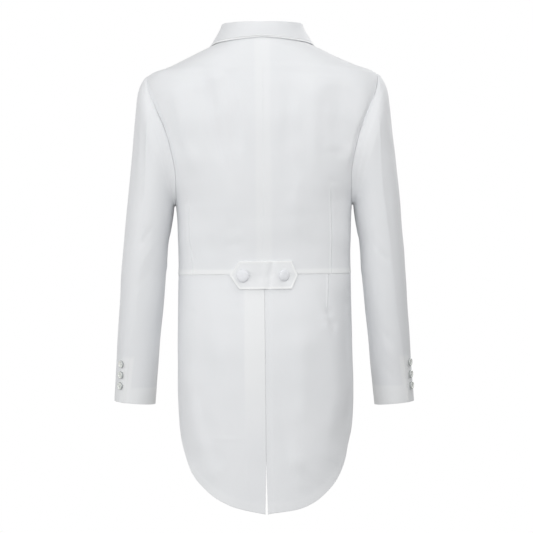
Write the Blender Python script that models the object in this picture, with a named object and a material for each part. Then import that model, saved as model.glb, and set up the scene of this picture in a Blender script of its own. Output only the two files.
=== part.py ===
"""A white evening tailcoat, filled out as when worn, with nobody in it.

The coat is one hollow form in thin wall, cut along its seams into the pieces that a tailor sews.
Lengths are metres and angles are degrees. The coat faces -Y, the wearer's left is +X and up is +Z.
The origin lies midway between the shoulders at the height of the neck points, where a wearer
holds the coat up.
"""

import math

import bmesh
import bpy
import numpy as np

# Cloth and sewing
WALL = 0.0020
SEAM_GAP = 0.0003
LAYER_GAP = 0.0009
PROBE = 0.0002
PROBE_ANGLE = 0.2
# Direction that orders the two ends of a rim face, so that pieces that share a seam split it alike
RIM_RULE = (0.13, 0.37, 1.0)

# Levels of the coat
WAIST_Z = -0.440
NECK_POINT_Z = 0.010
NAPE_Z = 0.014
GORGE_Z = -0.045
BREAK_Z = -0.400
FRONT_POINT_Z = -0.485
ROLL_BY_SHOULDER_Z = -0.082

# Armhole: an upright oval that lies on the body form
ARMHOLE_TIP_Z = -0.057
ARMHOLE_BOTTOM_Z = -0.308
ARMHOLE_BACK = 0.078
ARMHOLE_FRONT = 0.070
ARMHOLE_TAPER = 0.15

# Mesh density
SIDE_ROWS = 5
ARMHOLE_ROWS = 12
SHOULDER_ROWS = 5
BACK_COLUMNS = 9
FRONT_COLUMNS = 7
TAIL_FRONT_COLUMNS = 3
TAIL_ROWS = 14
SLEEVE_COLUMNS = 12
SLEEVE_RINGS = 26

# Tails
TAIL_FRONT_ANGLE = -24.0
RIGHT_HEM_DROP = 0.0040
LEFT_HEM_LIFT = 0.0018
VENT_TOP_Z = -0.787
VENT_HEM_GAP = 0.0024
VENT_EASE = 0.015

# Fronts: the straight part of the waist edge before it drops to the front point
WAIST_EDGE_COLUMNS = 3
NECK_SEARCH_MARGIN = 0.020
NECK_SEARCH_STEPS = 160

# Collar
COLLAR_RADIUS = 0.0032
COLLAR_ARC_STEPS = 4
LEAF_STEPS = 4
LEAF_LIFT = 0.0038

# Lapels
LAPEL_BREAK_WIDTH = 0.007
LAPEL_NOTCH = (0.112, -0.076)
NOTCH_COLUMN = 3
LAPEL_PEAK_LIFT = 0.0018
LAPEL_PEAK = (0.160, -0.050)
LAPEL_BELLY = 0.015
LAPEL_ROWS = 16
LAPEL_COLUMNS = 6
NOTCH_FADE_ROWS = 5

# Back tab and its two covered buttons: the tab lies a little askew, its left point the longer
TAB_CENTRE_Z = -0.4415
TAB_HALF_HEIGHT = 0.0265
TAB_CORNERS_X = (-0.051, 0.047)
TAB_TIPS_X = (-0.062, 0.065)
TAB_WALL = 0.0024
TAB_BUTTONS_X = {"left": 0.0400, "right": -0.0350}
TAB_BUTTON_Z = -0.4425
TAB_BUTTON_DIAMETER = 0.022
TAB_BUTTON_HEIGHT = 0.0062
TAB_BUTTON_LIFT = 0.0010

# Cuff buttons: height of each, and how far round from the outside of the arm
CUFF_BUTTON_HEIGHTS = (-0.6106, -0.6336, -0.6557)
CUFF_BUTTON_DIAMETER = 0.0148
CUFF_BUTTON_HEIGHT = 0.0042
CUFF_BUTTON_ANGLE = 40.0
RIGHT_FOREARM_TWIST = -14.0

# The right cuff hangs a little nearer the body than the left one
RIGHT_CUFF_SHIFT = -0.0034
HANG_RINGS = (5.0, 12.0)

# Colours are linear RGBA
CLOTH_COLOUR = (0.78, 0.79, 0.80, 1.0)
PEARL_COLOUR = (0.82, 0.82, 0.80, 1.0)


def smooth_read(known, values, where):
    """Read a table's column between its rows along a curve that never overshoots a row."""
    step = np.diff(known)
    slope = np.diff(values) / step
    tangent = np.empty_like(values)
    tangent[0] = slope[0]
    tangent[-1] = slope[-1]
    before, after = slope[:-1], slope[1:]
    same_way = before * after > 0
    weight_1 = 2 * step[1:] + step[:-1]
    weight_2 = step[1:] + 2 * step[:-1]
    safe_before = np.where(same_way, before, 1.0)
    safe_after = np.where(same_way, after, 1.0)
    mean = (weight_1 + weight_2) / (weight_1 / safe_before + weight_2 / safe_after)
    tangent[1:-1] = np.where(same_way, mean, 0.0)
    where = np.clip(where, known[0], known[-1])
    cell = np.clip(np.searchsorted(known, where, side="right") - 1, 0, len(known) - 2)
    width = step[cell]
    t = (where - known[cell]) / width
    return (values[cell] * (1 + 2 * t) * (1 - t) ** 2
            + tangent[cell] * width * t * (1 - t) ** 2
            + values[cell + 1] * t * t * (3 - 2 * t)
            + tangent[cell + 1] * width * t * t * (t - 1))


class Table:
    """Rows of named columns, read anywhere along the first column."""

    def __init__(self, columns, rows):
        self.names = columns.split()
        self.data = np.array(sorted(rows), dtype=float)

    def read(self, name, where):
        column = self.data[:, self.names.index(name)]
        return smooth_read(self.data[:, 0], column, np.asarray(where, dtype=float))


# Level sections of the body, from the hem of the tails to the nape
BODY = Table("z half_width back front side_y squareness", (
    (-0.905, 0.1680, 0.112, 0.112, 0.000, 2.4),
    (-0.690, 0.1685, 0.113, 0.114, 0.000, 2.4),
    (-0.600, 0.1680, 0.113, 0.115, 0.000, 2.4),
    (-0.520, 0.1665, 0.108, 0.114, 0.000, 2.4),
    (-0.470, 0.1655, 0.101, 0.112, 0.000, 2.4),
    (-0.440, 0.1650, 0.097, 0.111, 0.000, 2.4),
    (-0.400, 0.1650, 0.097, 0.112, 0.000, 2.4),
    (-0.340, 0.1665, 0.104, 0.118, 0.000, 2.45),
    (-0.308, 0.1690, 0.109, 0.122, 0.000, 2.5),
    (-0.265, 0.1860, 0.114, 0.126, 0.000, 2.5),
    (-0.200, 0.2100, 0.118, 0.128, 0.000, 2.5),
    (-0.150, 0.2190, 0.119, 0.126, 0.000, 2.5),
    (-0.120, 0.2250, 0.117, 0.121, 0.000, 2.45),
    (-0.090, 0.2275, 0.113, 0.113, 0.000, 2.4),
    (-0.075, 0.2260, 0.110, 0.107, 0.000, 2.3),
    (-0.060, 0.2205, 0.106, 0.100, 0.000, 2.2),
    (-0.051, 0.2080, 0.104, 0.096, 0.000, 2.2),
    (-0.044, 0.1870, 0.102, 0.092, 0.000, 2.2),
    (-0.029, 0.1520, 0.097, 0.084, 0.001, 2.2),
    (-0.013, 0.1180, 0.091, 0.074, 0.002, 2.2),
    (0.000, 0.0910, 0.084, 0.062, 0.004, 2.1),
    (0.010, 0.0735, 0.078, 0.050, 0.006, 2.0),
    (0.020, 0.0640, 0.068, 0.044, 0.008, 2.0),
))

# Fold line of the lapel, which is the front's inner edge, and the cutaway edge below it
ROLL_LINE = Table("z x", (
    (-0.485, 0.062), (-0.440, 0.052), (-0.400, 0.048),
    (-0.300, 0.052), (-0.200, 0.057), (-0.100, 0.063), (-0.045, 0.066),
))

# Lower edge of a tail, from its front corner round the hip to the centre back
HEM = Table("angle z", (
    (-24.0, -0.455), (-18.0, -0.505), (-12.0, -0.550), (-6.0, -0.590),
    (0.0, -0.628), (4.0, -0.654), (8.6, -0.688), (12.8, -0.732),
    (16.9, -0.762), (21.9, -0.791), (28.8, -0.820), (39.0, -0.847),
    (47.0, -0.862), (62.0, -0.877), (90.0, -0.888),
))

# Rings round the sleeve: each is an oval through an outer and an inner point
SLEEVE = Table("ring outer_x outer_z inner_x inner_z back front middle_y hind_seam front_seam", (
    (0, 0.2170, -0.0570, 0.1690, -0.3080, 0.078, 0.070, 0.000, 60, 120),
    (1, 0.2245, -0.0625, 0.1710, -0.3085, 0.080, 0.072, 0.000, 62, 120),
    (2, 0.2330, -0.0735, 0.1716, -0.3110, 0.082, 0.074, 0.000, 64, 120),
    (3, 0.2398, -0.0940, 0.1720, -0.3150, 0.082, 0.075, 0.000, 66, 120),
    (4, 0.2445, -0.1310, 0.1726, -0.3210, 0.080, 0.075, 0.000, 70, 121),
    (5, 0.2500, -0.1850, 0.1736, -0.3290, 0.077, 0.073, 0.000, 74, 121),
    (6, 0.2560, -0.2450, 0.1755, -0.3400, 0.073, 0.070, 0.000, 78, 122),
    (7, 0.2615, -0.3000, 0.1790, -0.3580, 0.069, 0.067, 0.000, 82, 122),
    (8, 0.2660, -0.3520, 0.1840, -0.3820, 0.066, 0.065, -0.002, 85, 123),
    (9, 0.2720, -0.4130, 0.1880, -0.4250, 0.063, 0.063, -0.006, 86, 123),
    (10, 0.2775, -0.4900, 0.1945, -0.4920, 0.059, 0.059, -0.013, 83, 124),
    (11, 0.2825, -0.5660, 0.2025, -0.5660, 0.055, 0.056, -0.022, 75, 124),
    (12, 0.2875, -0.6430, 0.2093, -0.6430, 0.051, 0.052, -0.033, 67, 125),
    (13, 0.2905, -0.6820, 0.2113, -0.6890, 0.050, 0.050, -0.039, 66, 125),
))
ARMHOLE_EASE_RINGS = 4.0
TWIST_RINGS = (5.0, 9.0)

# Collar, by how far round the neck a place is: 0 at the nape, 1 at the neck point, 2 at the gorge
COLLAR = Table("place rise edge_angle edge_z", (
    (0.00, 0.0225, 90.0, 0.0085),
    (0.50, 0.0250, 45.0, 0.0030),
    (1.00, 0.0290, 0.0, -0.0010),
    (1.40, 0.0240, -18.0, -0.0140),
    (1.70, 0.0130, -30.0, -0.0380),
    (2.00, 0.0035, -41.0, -0.0760),
))


def unit(vectors):
    """Scale vectors to length one."""
    return vectors / np.linalg.norm(vectors, axis=-1, keepdims=True)


def blend(first, last, share):
    """A value between two others."""
    return first + (last - first) * share


def form(angle, z):
    """Points on the body: 0 degrees is the wearer's left side, 90 the back, -90 the front."""
    angle, z = np.broadcast_arrays(np.asarray(angle, float), np.asarray(z, float))
    across = np.cos(np.radians(angle))
    along = np.sin(np.radians(angle))
    power = BODY.read("squareness", z)
    depth = np.where(along > 0, BODY.read("back", z), BODY.read("front", z))
    reach = ((np.abs(across) / BODY.read("half_width", z)) ** power
             + (np.abs(along) / depth) ** power) ** (-1 / power)
    return np.stack([reach * across, BODY.read("side_y", z) + reach * along, z], axis=-1)


def form_normal(angle, z):
    """Outward direction of the body form at a place."""
    angle, z = np.broadcast_arrays(np.asarray(angle, float), np.asarray(z, float))
    round_way = form(angle + PROBE_ANGLE, z) - form(angle - PROBE_ANGLE, z)
    up_way = form(angle, z + PROBE) - form(angle, z - PROBE)
    return unit(np.cross(round_way, up_way))


def angle_at_x(x, z, facing):
    """Where round the body a level line meets a distance x from the middle; facing 1 is the back."""
    x, z = np.broadcast_arrays(np.asarray(x, float), np.asarray(z, float))
    power = BODY.read("squareness", z)
    depth = BODY.read("back", z) if facing > 0 else BODY.read("front", z)
    share = np.clip(np.abs(x) / BODY.read("half_width", z), 0, 1)
    y = facing * depth * (1 - share ** power) ** (1 / power)
    return np.degrees(np.arctan2(y, x))


def height_at_x(x, angle):
    """How high on the shoulders the body form is x from the middle, at each angle round it."""
    levels = np.linspace(GORGE_Z - NECK_SEARCH_MARGIN, NAPE_Z, NECK_SEARCH_STEPS)
    reach = form(np.asarray(angle)[:, None], levels)[..., 0]
    return np.array([np.interp(-target, -row, levels) for target, row in zip(x, reach)])


def armhole(turn):
    """Angle and height on the body of the armhole: turn 0 is its tip, 90 its back, 180 its foot."""
    turn = np.radians(np.asarray(turn, float))
    middle = (ARMHOLE_TIP_Z + ARMHOLE_BOTTOM_Z) / 2
    z = middle + (ARMHOLE_TIP_Z - middle) * np.cos(turn)
    reach = np.where(np.sin(turn) > 0, ARMHOLE_BACK, ARMHOLE_FRONT)
    y = reach * np.sin(turn) * (1 - ARMHOLE_TAPER * np.cos(turn))
    power = BODY.read("squareness", z)
    depth = np.where(y > 0, BODY.read("back", z), BODY.read("front", z))
    x = BODY.read("half_width", z) * (1 - (np.abs(y) / depth) ** power) ** (1 / power)
    return np.degrees(np.arctan2(y, x)), z


def sleeve_oval(turn, ring):
    """A sleeve ring before it is fitted to the armhole."""
    turn, ring = np.broadcast_arrays(np.asarray(turn, float), np.asarray(ring, float))
    across = np.cos(np.radians(turn))
    along = np.sin(np.radians(turn))
    outer_x, inner_x = SLEEVE.read("outer_x", ring), SLEEVE.read("inner_x", ring)
    outer_z, inner_z = SLEEVE.read("outer_z", ring), SLEEVE.read("inner_z", ring)
    depth = np.where(along > 0, SLEEVE.read("back", ring), SLEEVE.read("front", ring))
    return np.stack([
        (outer_x + inner_x) / 2 + (outer_x - inner_x) / 2 * across,
        SLEEVE.read("middle_y", ring) + depth * along,
        (outer_z + inner_z) / 2 + (outer_z - inner_z) / 2 * across], axis=-1)


def sleeve(turn, ring):
    """Points on the sleeve, whose first ring is the armhole itself."""
    turn, ring = np.broadcast_arrays(np.asarray(turn, float), np.asarray(ring, float))
    fade = np.clip(1 - ring / ARMHOLE_EASE_RINGS, 0, 1) ** 2
    correction = form(*armhole(turn)) - sleeve_oval(turn, 0.0 * ring)
    return sleeve_oval(turn, ring) + correction * fade[..., None]


def sleeve_normal(turn, ring):
    """Outward direction of the sleeve at a place."""
    turn, ring = np.broadcast_arrays(np.asarray(turn, float), np.asarray(ring, float))
    last = SLEEVE.data[-1, 0]
    step = 0.02
    up, down = np.clip(ring - step, 0, last), np.clip(ring + step, 0, last)
    round_way = sleeve(turn + PROBE_ANGLE, ring) - sleeve(turn - PROBE_ANGLE, ring)
    return unit(np.cross(sleeve(turn, down) - sleeve(turn, up), round_way))


def armhole_mitre(turn):
    """Direction shared by the body's and the sleeve's wall at the armhole seam."""
    return unit(form_normal(*armhole(turn)) + sleeve_normal(turn, 0.0))


def edge_steps(points, normals, neighbours):
    """Unit steps that lead from an edge into its own piece, square to the edge in the surface."""
    along = np.gradient(points, axis=0)
    steps = unit(np.cross(normals, along))
    return steps * np.sign(np.sum(steps * (neighbours - points)))


def inset(grid, normals, top=0.0, bottom=0.0, left=0.0, right=0.0):
    """Draw a grid's edges in from its seams, square to each seam."""
    out = grid.copy()
    out[-1] += edge_steps(grid[-1], normals[-1], grid[-2]) * top
    out[0] += edge_steps(grid[0], normals[0], grid[1]) * bottom
    out[:, 0] += edge_steps(grid[:, 0], normals[:, 0], grid[:, 1]) * left
    out[:, -1] += edge_steps(grid[:, -1], normals[:, -1], grid[:, -2]) * right
    return out


def cloth_between(name, surface, normals, side, **seams):
    """A wall that runs in from a surface, with its seam edges drawn back from their neighbours."""
    wall(name, inset(surface, normals, **seams), inset(surface - WALL * normals, normals, **seams), side)


def material(name, colour, roughness):
    """A plain finish with the colour of the real piece."""
    if name in bpy.data.materials:
        return bpy.data.materials[name]
    finish = bpy.data.materials.new(name)
    finish.use_nodes = True
    shader = finish.node_tree.nodes["Principled BSDF"]
    shader.inputs["Base Color"].default_value = colour
    shader.inputs["Roughness"].default_value = roughness
    shader.inputs["Metallic"].default_value = 0.0
    return finish


def add_object(name, mesh_bm, finish):
    """Turn a bmesh into a named object of its own."""
    bmesh.ops.remove_doubles(mesh_bm, verts=mesh_bm.verts, dist=1e-6)
    bmesh.ops.recalc_face_normals(mesh_bm, faces=mesh_bm.faces)
    mesh = bpy.data.meshes.new(name)
    mesh_bm.to_mesh(mesh)
    mesh_bm.free()
    mesh.materials.append(finish)
    mesh.shade_smooth()
    mesh.set_sharp_from_angle(angle=math.radians(40))
    piece = bpy.data.objects.new(name, mesh)
    bpy.context.scene.collection.objects.link(piece)
    return piece


def wall(name, outer, inner, side=1):
    """A closed wall of cloth between two grids of points; side -1 mirrors it to the right."""
    rows, columns = outer.shape[:2]
    flip = np.array([side, 1.0, 1.0])
    solid = bmesh.new()
    sheets = []
    for grid in (outer * flip, inner * flip):
        sheets.append([[solid.verts.new(point) for point in row] for row in grid])
    front, back = sheets
    for i in range(rows - 1):
        for j in range(columns - 1):
            for sheet in (front, back):
                solid.faces.new((sheet[i][j], sheet[i][j + 1], sheet[i + 1][j + 1], sheet[i + 1][j]))
    rim = [(0, j) for j in range(columns)]
    rim += [(i, columns - 1) for i in range(1, rows)]
    rim += [(rows - 1, j) for j in range(columns - 2, -1, -1)]
    rim += [(i, 0) for i in range(rows - 2, 0, -1)]
    for ends in zip(rim, rim[1:] + rim[:1]):
        low, high = sorted(ends, key=lambda end: np.dot(outer[end], RIM_RULE))
        solid.faces.new((front[low[0]][low[1]], front[high[0]][high[1]], back[high[0]][high[1]]))
        solid.faces.new((front[low[0]][low[1]], back[high[0]][high[1]], back[low[0]][low[1]]))
    return add_object(name, solid, material("white_suiting", CLOTH_COLOUR, 0.8))


def outer_edge(facing):
    """Side seam, armhole and shoulder seam of a panel, as angles and heights from the waist up."""
    side_z = np.linspace(WAIST_Z, ARMHOLE_BOTTOM_Z, SIDE_ROWS + 1)[:-1]
    turns = np.linspace(180, 0, ARMHOLE_ROWS + 1)
    arm_angle, arm_z = armhole(facing * turns)
    arm_angle[[0, -1]] = 0.0
    shoulder_z = np.linspace(ARMHOLE_TIP_Z, NECK_POINT_Z, SHOULDER_ROWS + 1)[1:]
    angles = np.concatenate([0 * side_z, arm_angle, 0 * shoulder_z])
    heights = np.concatenate([side_z, arm_z, shoulder_z])
    return angles, heights


def mitred_normals(normals, facing):
    """A panel's wall directions, with the armhole's own along its armhole edge."""
    turns = np.linspace(180, 0, ARMHOLE_ROWS + 1)
    normals[SIDE_ROWS:SIDE_ROWS + ARMHOLE_ROWS + 1, 0] = armhole_mitre(facing * turns)
    return normals


def back_grid():
    """Angles and heights over one half of the back, side seam first and centre seam last."""
    angles, heights = outer_edge(1)
    across = np.linspace(0, 1, BACK_COLUMNS + 1)
    inner_z = np.linspace(WAIST_Z, NAPE_Z, len(heights))
    return (blend(angles[:, None], 90.0, across),
            blend(heights[:, None], inner_z[:, None], across))


def front_grid():
    """Angles and heights over one front, side seam first and the lapel's fold line last."""
    angles, heights = outer_edge(-1)
    across = np.linspace(0, 1, FRONT_COLUMNS + 1)
    rows = len(heights)
    tip_row = SIDE_ROWS + ARMHOLE_ROWS
    inner_z = np.interp(np.arange(rows), (0, tip_row, rows - 1),
                        (FRONT_POINT_Z, ROLL_BY_SHOULDER_Z, GORGE_Z))
    inner_angle = angle_at_x(ROLL_LINE.read("x", inner_z), inner_z, -1)
    grid_z = blend(heights[:, None], inner_z[:, None], across)
    straight = WAIST_EDGE_COLUMNS / FRONT_COLUMNS
    waist_edge = blend(WAIST_Z, FRONT_POINT_Z, np.clip((across - straight) / (1 - straight), 0, 1))
    rising = np.clip(1 - np.arange(rows) / SIDE_ROWS, 0, 1)[:, None]
    grid_z = grid_z + (waist_edge - grid_z[0]) * rising
    grid_angle = blend(angles[:, None], inner_angle[:, None], across)
    neck_x = blend(form(0.0, NECK_POINT_Z)[0], ROLL_LINE.read("x", GORGE_Z), across)
    neck_edge = height_at_x(neck_x, grid_angle[-1])
    return grid_angle, grid_z + (neck_edge - grid_z[-1]) * rising[::-1]


def panel(name, angle, z, facing, side):
    """A body panel: its wall runs in from the form, drawn back from its seams."""
    normals = mitred_normals(form_normal(angle, z), facing)
    surface = form(angle, z)
    half = SEAM_GAP / 2
    cloth_between(name, surface, normals, side, left=half, right=half, bottom=half)


def tail_hem(angles, side):
    """Height of a tail's lower edge; the right tail hangs lower on the hip than the left."""
    share = np.sin(np.pi * np.clip(angles / 90, 0, 1)) ** 2
    return HEM.read("z", angles) + (LEFT_HEM_LIFT if side > 0 else -RIGHT_HEM_DROP) * share


def tail_grid(side):
    """Angles and heights over one tail, from its front corner to the centre back."""
    angles = np.concatenate([
        np.linspace(TAIL_FRONT_ANGLE, 0, TAIL_FRONT_COLUMNS + 1)[:-1],
        np.linspace(0, 90, BACK_COLUMNS + 1)])
    down = np.linspace(0, 1, TAIL_ROWS + 1)[::-1, None]
    heights = blend(WAIST_Z, tail_hem(angles, side), down)
    return np.broadcast_to(angles, heights.shape), heights


def tail(name, side):
    """One tail, whose centre edge stands a little away from its twin below the vent's top."""
    angle, z = tail_grid(side)
    surface = form(angle, z)
    normals = form_normal(angle, z)
    open_share = np.clip((VENT_TOP_Z - z) / (VENT_TOP_Z - HEM.read("z", 90.0)), 0, 1)
    shift = VENT_HEM_GAP * open_share * np.exp(-surface[..., 0] / VENT_EASE)
    surface = surface + shift[..., None] * np.array([1.0, 0.0, 0.0])
    cloth_between(name, surface, normals, side, top=SEAM_GAP / 2, right=SEAM_GAP / 2)


def forearm_twist(ring, side):
    """How far the right sleeve's seams turn towards its outside, below the elbow."""
    share = np.clip((ring - TWIST_RINGS[0]) / (TWIST_RINGS[1] - TWIST_RINGS[0]), 0, 1)
    return (RIGHT_FOREARM_TWIST if side < 0 else 0.0) * share * share * (3 - 2 * share)


def cuff_hang(ring, side):
    """How far the right sleeve swings in towards the body below the elbow."""
    share = np.clip((ring - HANG_RINGS[0]) / (HANG_RINGS[1] - HANG_RINGS[0]), 0, 1)
    swing = (RIGHT_CUFF_SHIFT if side < 0 else 0.0) * share * share * (3 - 2 * share)
    return np.asarray(swing)[..., None] * np.array([1.0, 0.0, 0.0])


def sleeve_grid(first_seam, last_seam, side):
    """Turns and rings over one sleeve piece, armhole last; each seam is a column name and a sign."""
    rings = np.linspace(SLEEVE.data[-1, 0], 0, SLEEVE_RINGS + 1)[:, None]
    twist = forearm_twist(rings, side)
    ends = []
    for name, sign, whole_turn in (first_seam, last_seam):
        ends.append(sign * SLEEVE.read(name, rings) + whole_turn + twist)
    across = np.linspace(0, 1, SLEEVE_COLUMNS + 1)
    turn = blend(ends[0], ends[1], across)
    return turn, np.broadcast_to(rings, turn.shape)


def sleeve_piece(name, first_seam, last_seam, side):
    """One of the two pieces that a sleeve is cut from."""
    turn, ring = sleeve_grid(first_seam, last_seam, side)
    normals = sleeve_normal(turn, ring)
    normals[-1] = armhole_mitre(turn[-1])
    surface = sleeve(turn, ring) + cuff_hang(ring, side)
    half = SEAM_GAP / 2
    cloth_between(name, surface, normals, side, top=half, left=half, right=half)


def collar_base():
    """Places round one half of the neck edge, as place, angle and height, nape first."""
    back_angle, back_z = back_grid()
    front_angle, front_z = front_grid()
    angle = np.concatenate([back_angle[-1][::-1], front_angle[-1][1:]])
    z = np.concatenate([back_z[-1][::-1], front_z[-1][1:]])
    place = np.concatenate([np.linspace(0, 1, BACK_COLUMNS + 1),
                            np.linspace(1, 2, FRONT_COLUMNS + 1)[1:]])
    return place, angle, z


def collar_section(place, angle, z, edge_angle, edge_z, base, along):
    """The collar's seen side, its hidden side and its facing at one place: stand, roll and leaf."""
    surface_way = form_normal(angle, z)
    flat_share = np.clip(place - 1, 0, 1) ** 1.5
    up = unit(blend(np.array([0.0, 0.0, 1.0]), surface_way, flat_share))
    out = unit(np.cross(up, along))
    up = unit(np.cross(along, out))
    rise = COLLAR.read("rise", place)
    foot = base - out * (COLLAR_RADIUS - WALL / 2) + up * SEAM_GAP
    radius = min(COLLAR_RADIUS, rise)
    middle = foot + out * COLLAR_RADIUS + up * (rise - radius)
    swing = np.radians(np.linspace(180, 0, COLLAR_ARC_STEPS + 1))[:, None]
    arc_way = np.cos(swing) * out + np.sin(swing) * up
    seen = [foot, *(middle + COLLAR_RADIUS * arc_way)]
    hidden = [foot + out * WALL, *(middle + (COLLAR_RADIUS - WALL) * arc_way)]
    steps = np.linspace(0, 1, LEAF_STEPS + 1)
    leaf_angle = blend(angle, edge_angle, steps)
    leaf_z = blend(z, edge_z, steps)
    ways = form_normal(leaf_angle, leaf_z)
    outer = form(leaf_angle, leaf_z) + LEAF_LIFT * ways
    drop = (1 - steps)[:, None]
    seen_leaf = outer + (seen[-1] - outer[0]) * drop
    facing = unit(blend(ways, out, drop))
    hidden_leaf = seen_leaf - WALL * facing
    facings = [-out, *arc_way, *facing[1:]]
    return seen + list(seen_leaf[1:]), hidden + list(hidden_leaf[1:]), facings


def collar():
    """The whole collar in one piece, from gorge to gorge."""
    place, angle, z = collar_base()
    base = form(angle, z)
    along = np.gradient(base, axis=0)
    along[0] = np.array([1.0, 0.0, 0.0])
    along = unit(along)
    edge_angle = COLLAR.read("edge_angle", place)
    edge_z = COLLAR.read("edge_z", place)
    edge_angle[-1] = angle_at_x(*LAPEL_NOTCH, -1)
    edge_z[-1] = LAPEL_NOTCH[1]
    sections = [collar_section(*row) for row in zip(place, angle, z, edge_angle, edge_z, base, along)]
    seen, hidden, facings = np.array(sections).transpose(1, 0, 2, 3)
    halves = []
    for half in (seen, hidden):
        half = inset(half, facings, top=SEAM_GAP / 2)
        half[0, :, 0] = 0.0
        halves.append(np.concatenate([half[:0:-1] * np.array([-1.0, 1.0, 1.0]), half]))
    wall("collar", *halves)


def lapel(name, side):
    """A peaked lapel turned back over the front, from the break at the waist up to the gorge."""
    up = np.linspace(0, 1, LAPEL_ROWS + 1)
    inner_z = blend(BREAK_Z, GORGE_Z, up)
    inner_x = ROLL_LINE.read("x", inner_z)
    belly = LAPEL_BELLY * np.sin(np.pi * up)
    outer_x = blend(inner_x[0] + LAPEL_BREAK_WIDTH, LAPEL_PEAK[0], up) + belly
    outer_z = blend(BREAK_Z, LAPEL_PEAK[1], up)
    inner_angle = angle_at_x(inner_x, inner_z, -1)
    outer_angle = angle_at_x(outer_x, outer_z, -1)
    across = np.linspace(0, 1, LAPEL_COLUMNS + 1)
    angle = blend(inner_angle[:, None], outer_angle[:, None], across)
    z = blend(inner_z[:, None], outer_z[:, None], across)
    notch_at = NOTCH_COLUMN / LAPEL_COLUMNS
    stops = (0, notch_at, 1)
    notch_angle = angle_at_x(*LAPEL_NOTCH, -1)
    gorge_angle = np.interp(across, stops, (inner_angle[-1], notch_angle, outer_angle[-1]))
    gorge_z = np.interp(across, stops, (inner_z[-1], LAPEL_NOTCH[1], outer_z[-1]))
    fade = np.clip(1 - np.arange(LAPEL_ROWS, -1, -1) / NOTCH_FADE_ROWS, 0, 1)[:, None]
    angle = angle + (gorge_angle - angle[-1]) * fade
    z = z + (gorge_z - z[-1]) * fade
    normals = form_normal(angle, z)
    lift = LAYER_GAP + LAPEL_PEAK_LIFT * across * up[:, None] ** 2
    under = form(angle, z) + lift[..., None] * normals
    edge = dict(top=SEAM_GAP / 2)
    wall(name, inset(under + WALL * normals, normals, **edge), inset(under, normals, **edge), side)


def back_tab():
    """The pointed tab that lies across the back of the waist."""
    x = np.array([TAB_TIPS_X[0], *np.linspace(*TAB_CORNERS_X, 9), TAB_TIPS_X[1]])
    half = np.interp(x, (TAB_TIPS_X[0], *TAB_CORNERS_X, TAB_TIPS_X[1]),
                     (0, TAB_HALF_HEIGHT, TAB_HALF_HEIGHT, 0))
    height = np.linspace(-1, 1, 5)[:, None]
    z = TAB_CENTRE_Z + half * height
    angle = angle_at_x(x, z, 1)
    normals = form_normal(angle, z)
    under = form(angle, z) + LAYER_GAP * normals
    wall("back_tab", under + TAB_WALL * normals, under)


def button(name, centre, way, diameter, height, finish, lift_off=SEAM_GAP, segments=20):
    """A domed button turned about its own axis, its flat base just above the cloth."""
    radius = diameter / 2
    profile = [(radius * 0.80, 0.0), (radius, height * 0.30)]
    for lift in (0.55, 0.75, 0.90, 1.0):
        profile.append((radius * math.sqrt(max(1 - lift ** 2.2, 0.0)), height * blend(0.30, 1.0, lift)))
    side_way = unit(np.cross(way, np.array([0.0, 0.0, 1.0])))
    up_way = np.cross(side_way, way)
    base = centre + way * lift_off
    turned = bmesh.new()
    rings = []
    for reach, lift in profile:
        turns = [0.0] if reach < 1e-6 else np.linspace(0, 2 * np.pi, segments, endpoint=False)
        rings.append([turned.verts.new(base + way * lift
                                       + reach * (math.cos(t) * side_way + math.sin(t) * up_way))
                      for t in turns])
    turned.faces.new(rings[0])
    for lower, upper in zip(rings, rings[1:]):
        for i in range(segments):
            j = (i + 1) % segments
            if len(upper) == 1:
                turned.faces.new((lower[i], lower[j], upper[0]))
            else:
                turned.faces.new((lower[i], lower[j], upper[j], upper[i]))
    return add_object(name, turned, finish)


def tab_buttons():
    """Two cloth-covered buttons, one at each end of the tab."""
    cloth = material("white_suiting", CLOTH_COLOUR, 0.8)
    for name, x in TAB_BUTTONS_X.items():
        angle = angle_at_x(x, TAB_BUTTON_Z, 1)
        way = form_normal(angle, TAB_BUTTON_Z)
        centre = form(angle, TAB_BUTTON_Z) + way * (LAYER_GAP + TAB_WALL)
        button("tab_button_" + name, centre, way,
               TAB_BUTTON_DIAMETER, TAB_BUTTON_HEIGHT, cloth, TAB_BUTTON_LIFT)


def cuff_buttons():
    """Three pearl buttons down each sleeve, beside its hind seam."""
    pearl = material("pearl_button", PEARL_COLOUR, 0.2)
    rings = np.linspace(0, SLEEVE.data[-1, 0], 400)
    for side, name in ((1, "left"), (-1, "right")):
        turns = CUFF_BUTTON_ANGLE + forearm_twist(rings, side)
        line = sleeve(turns, rings) + cuff_hang(rings, side)
        for number, height in enumerate(CUFF_BUTTON_HEIGHTS, 1):
            ring = float(np.interp(-height, -line[:, 2], rings))
            turn = CUFF_BUTTON_ANGLE + float(forearm_twist(ring, side))
            flip = np.array([side, 1.0, 1.0])
            centre = sleeve(turn, ring) + cuff_hang(ring, side)
            button(f"cuff_button_{name}_{number}", centre * flip, sleeve_normal(turn, ring) * flip,
                   CUFF_BUTTON_DIAMETER, CUFF_BUTTON_HEIGHT, pearl)


def build():
    """Clear the scene and make every piece of the coat."""
    for old in list(bpy.data.objects):
        bpy.data.objects.remove(old, do_unlink=True)
    hind, front = ("hind_seam", 1, 0), ("front_seam", -1, 0)
    front_again = ("front_seam", -1, 360)
    for side, name in ((1, "left"), (-1, "right")):
        panel("back_" + name, *back_grid(), 1, side)
        panel("front_" + name, *front_grid(), -1, side)
        tail("tail_" + name, side)
        sleeve_piece("topsleeve_" + name, front, hind, side)
        sleeve_piece("undersleeve_" + name, hind, front_again, side)
        lapel("lapel_" + name, side)
    collar()
    back_tab()
    tab_buttons()
    cuff_buttons()


build()
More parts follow.
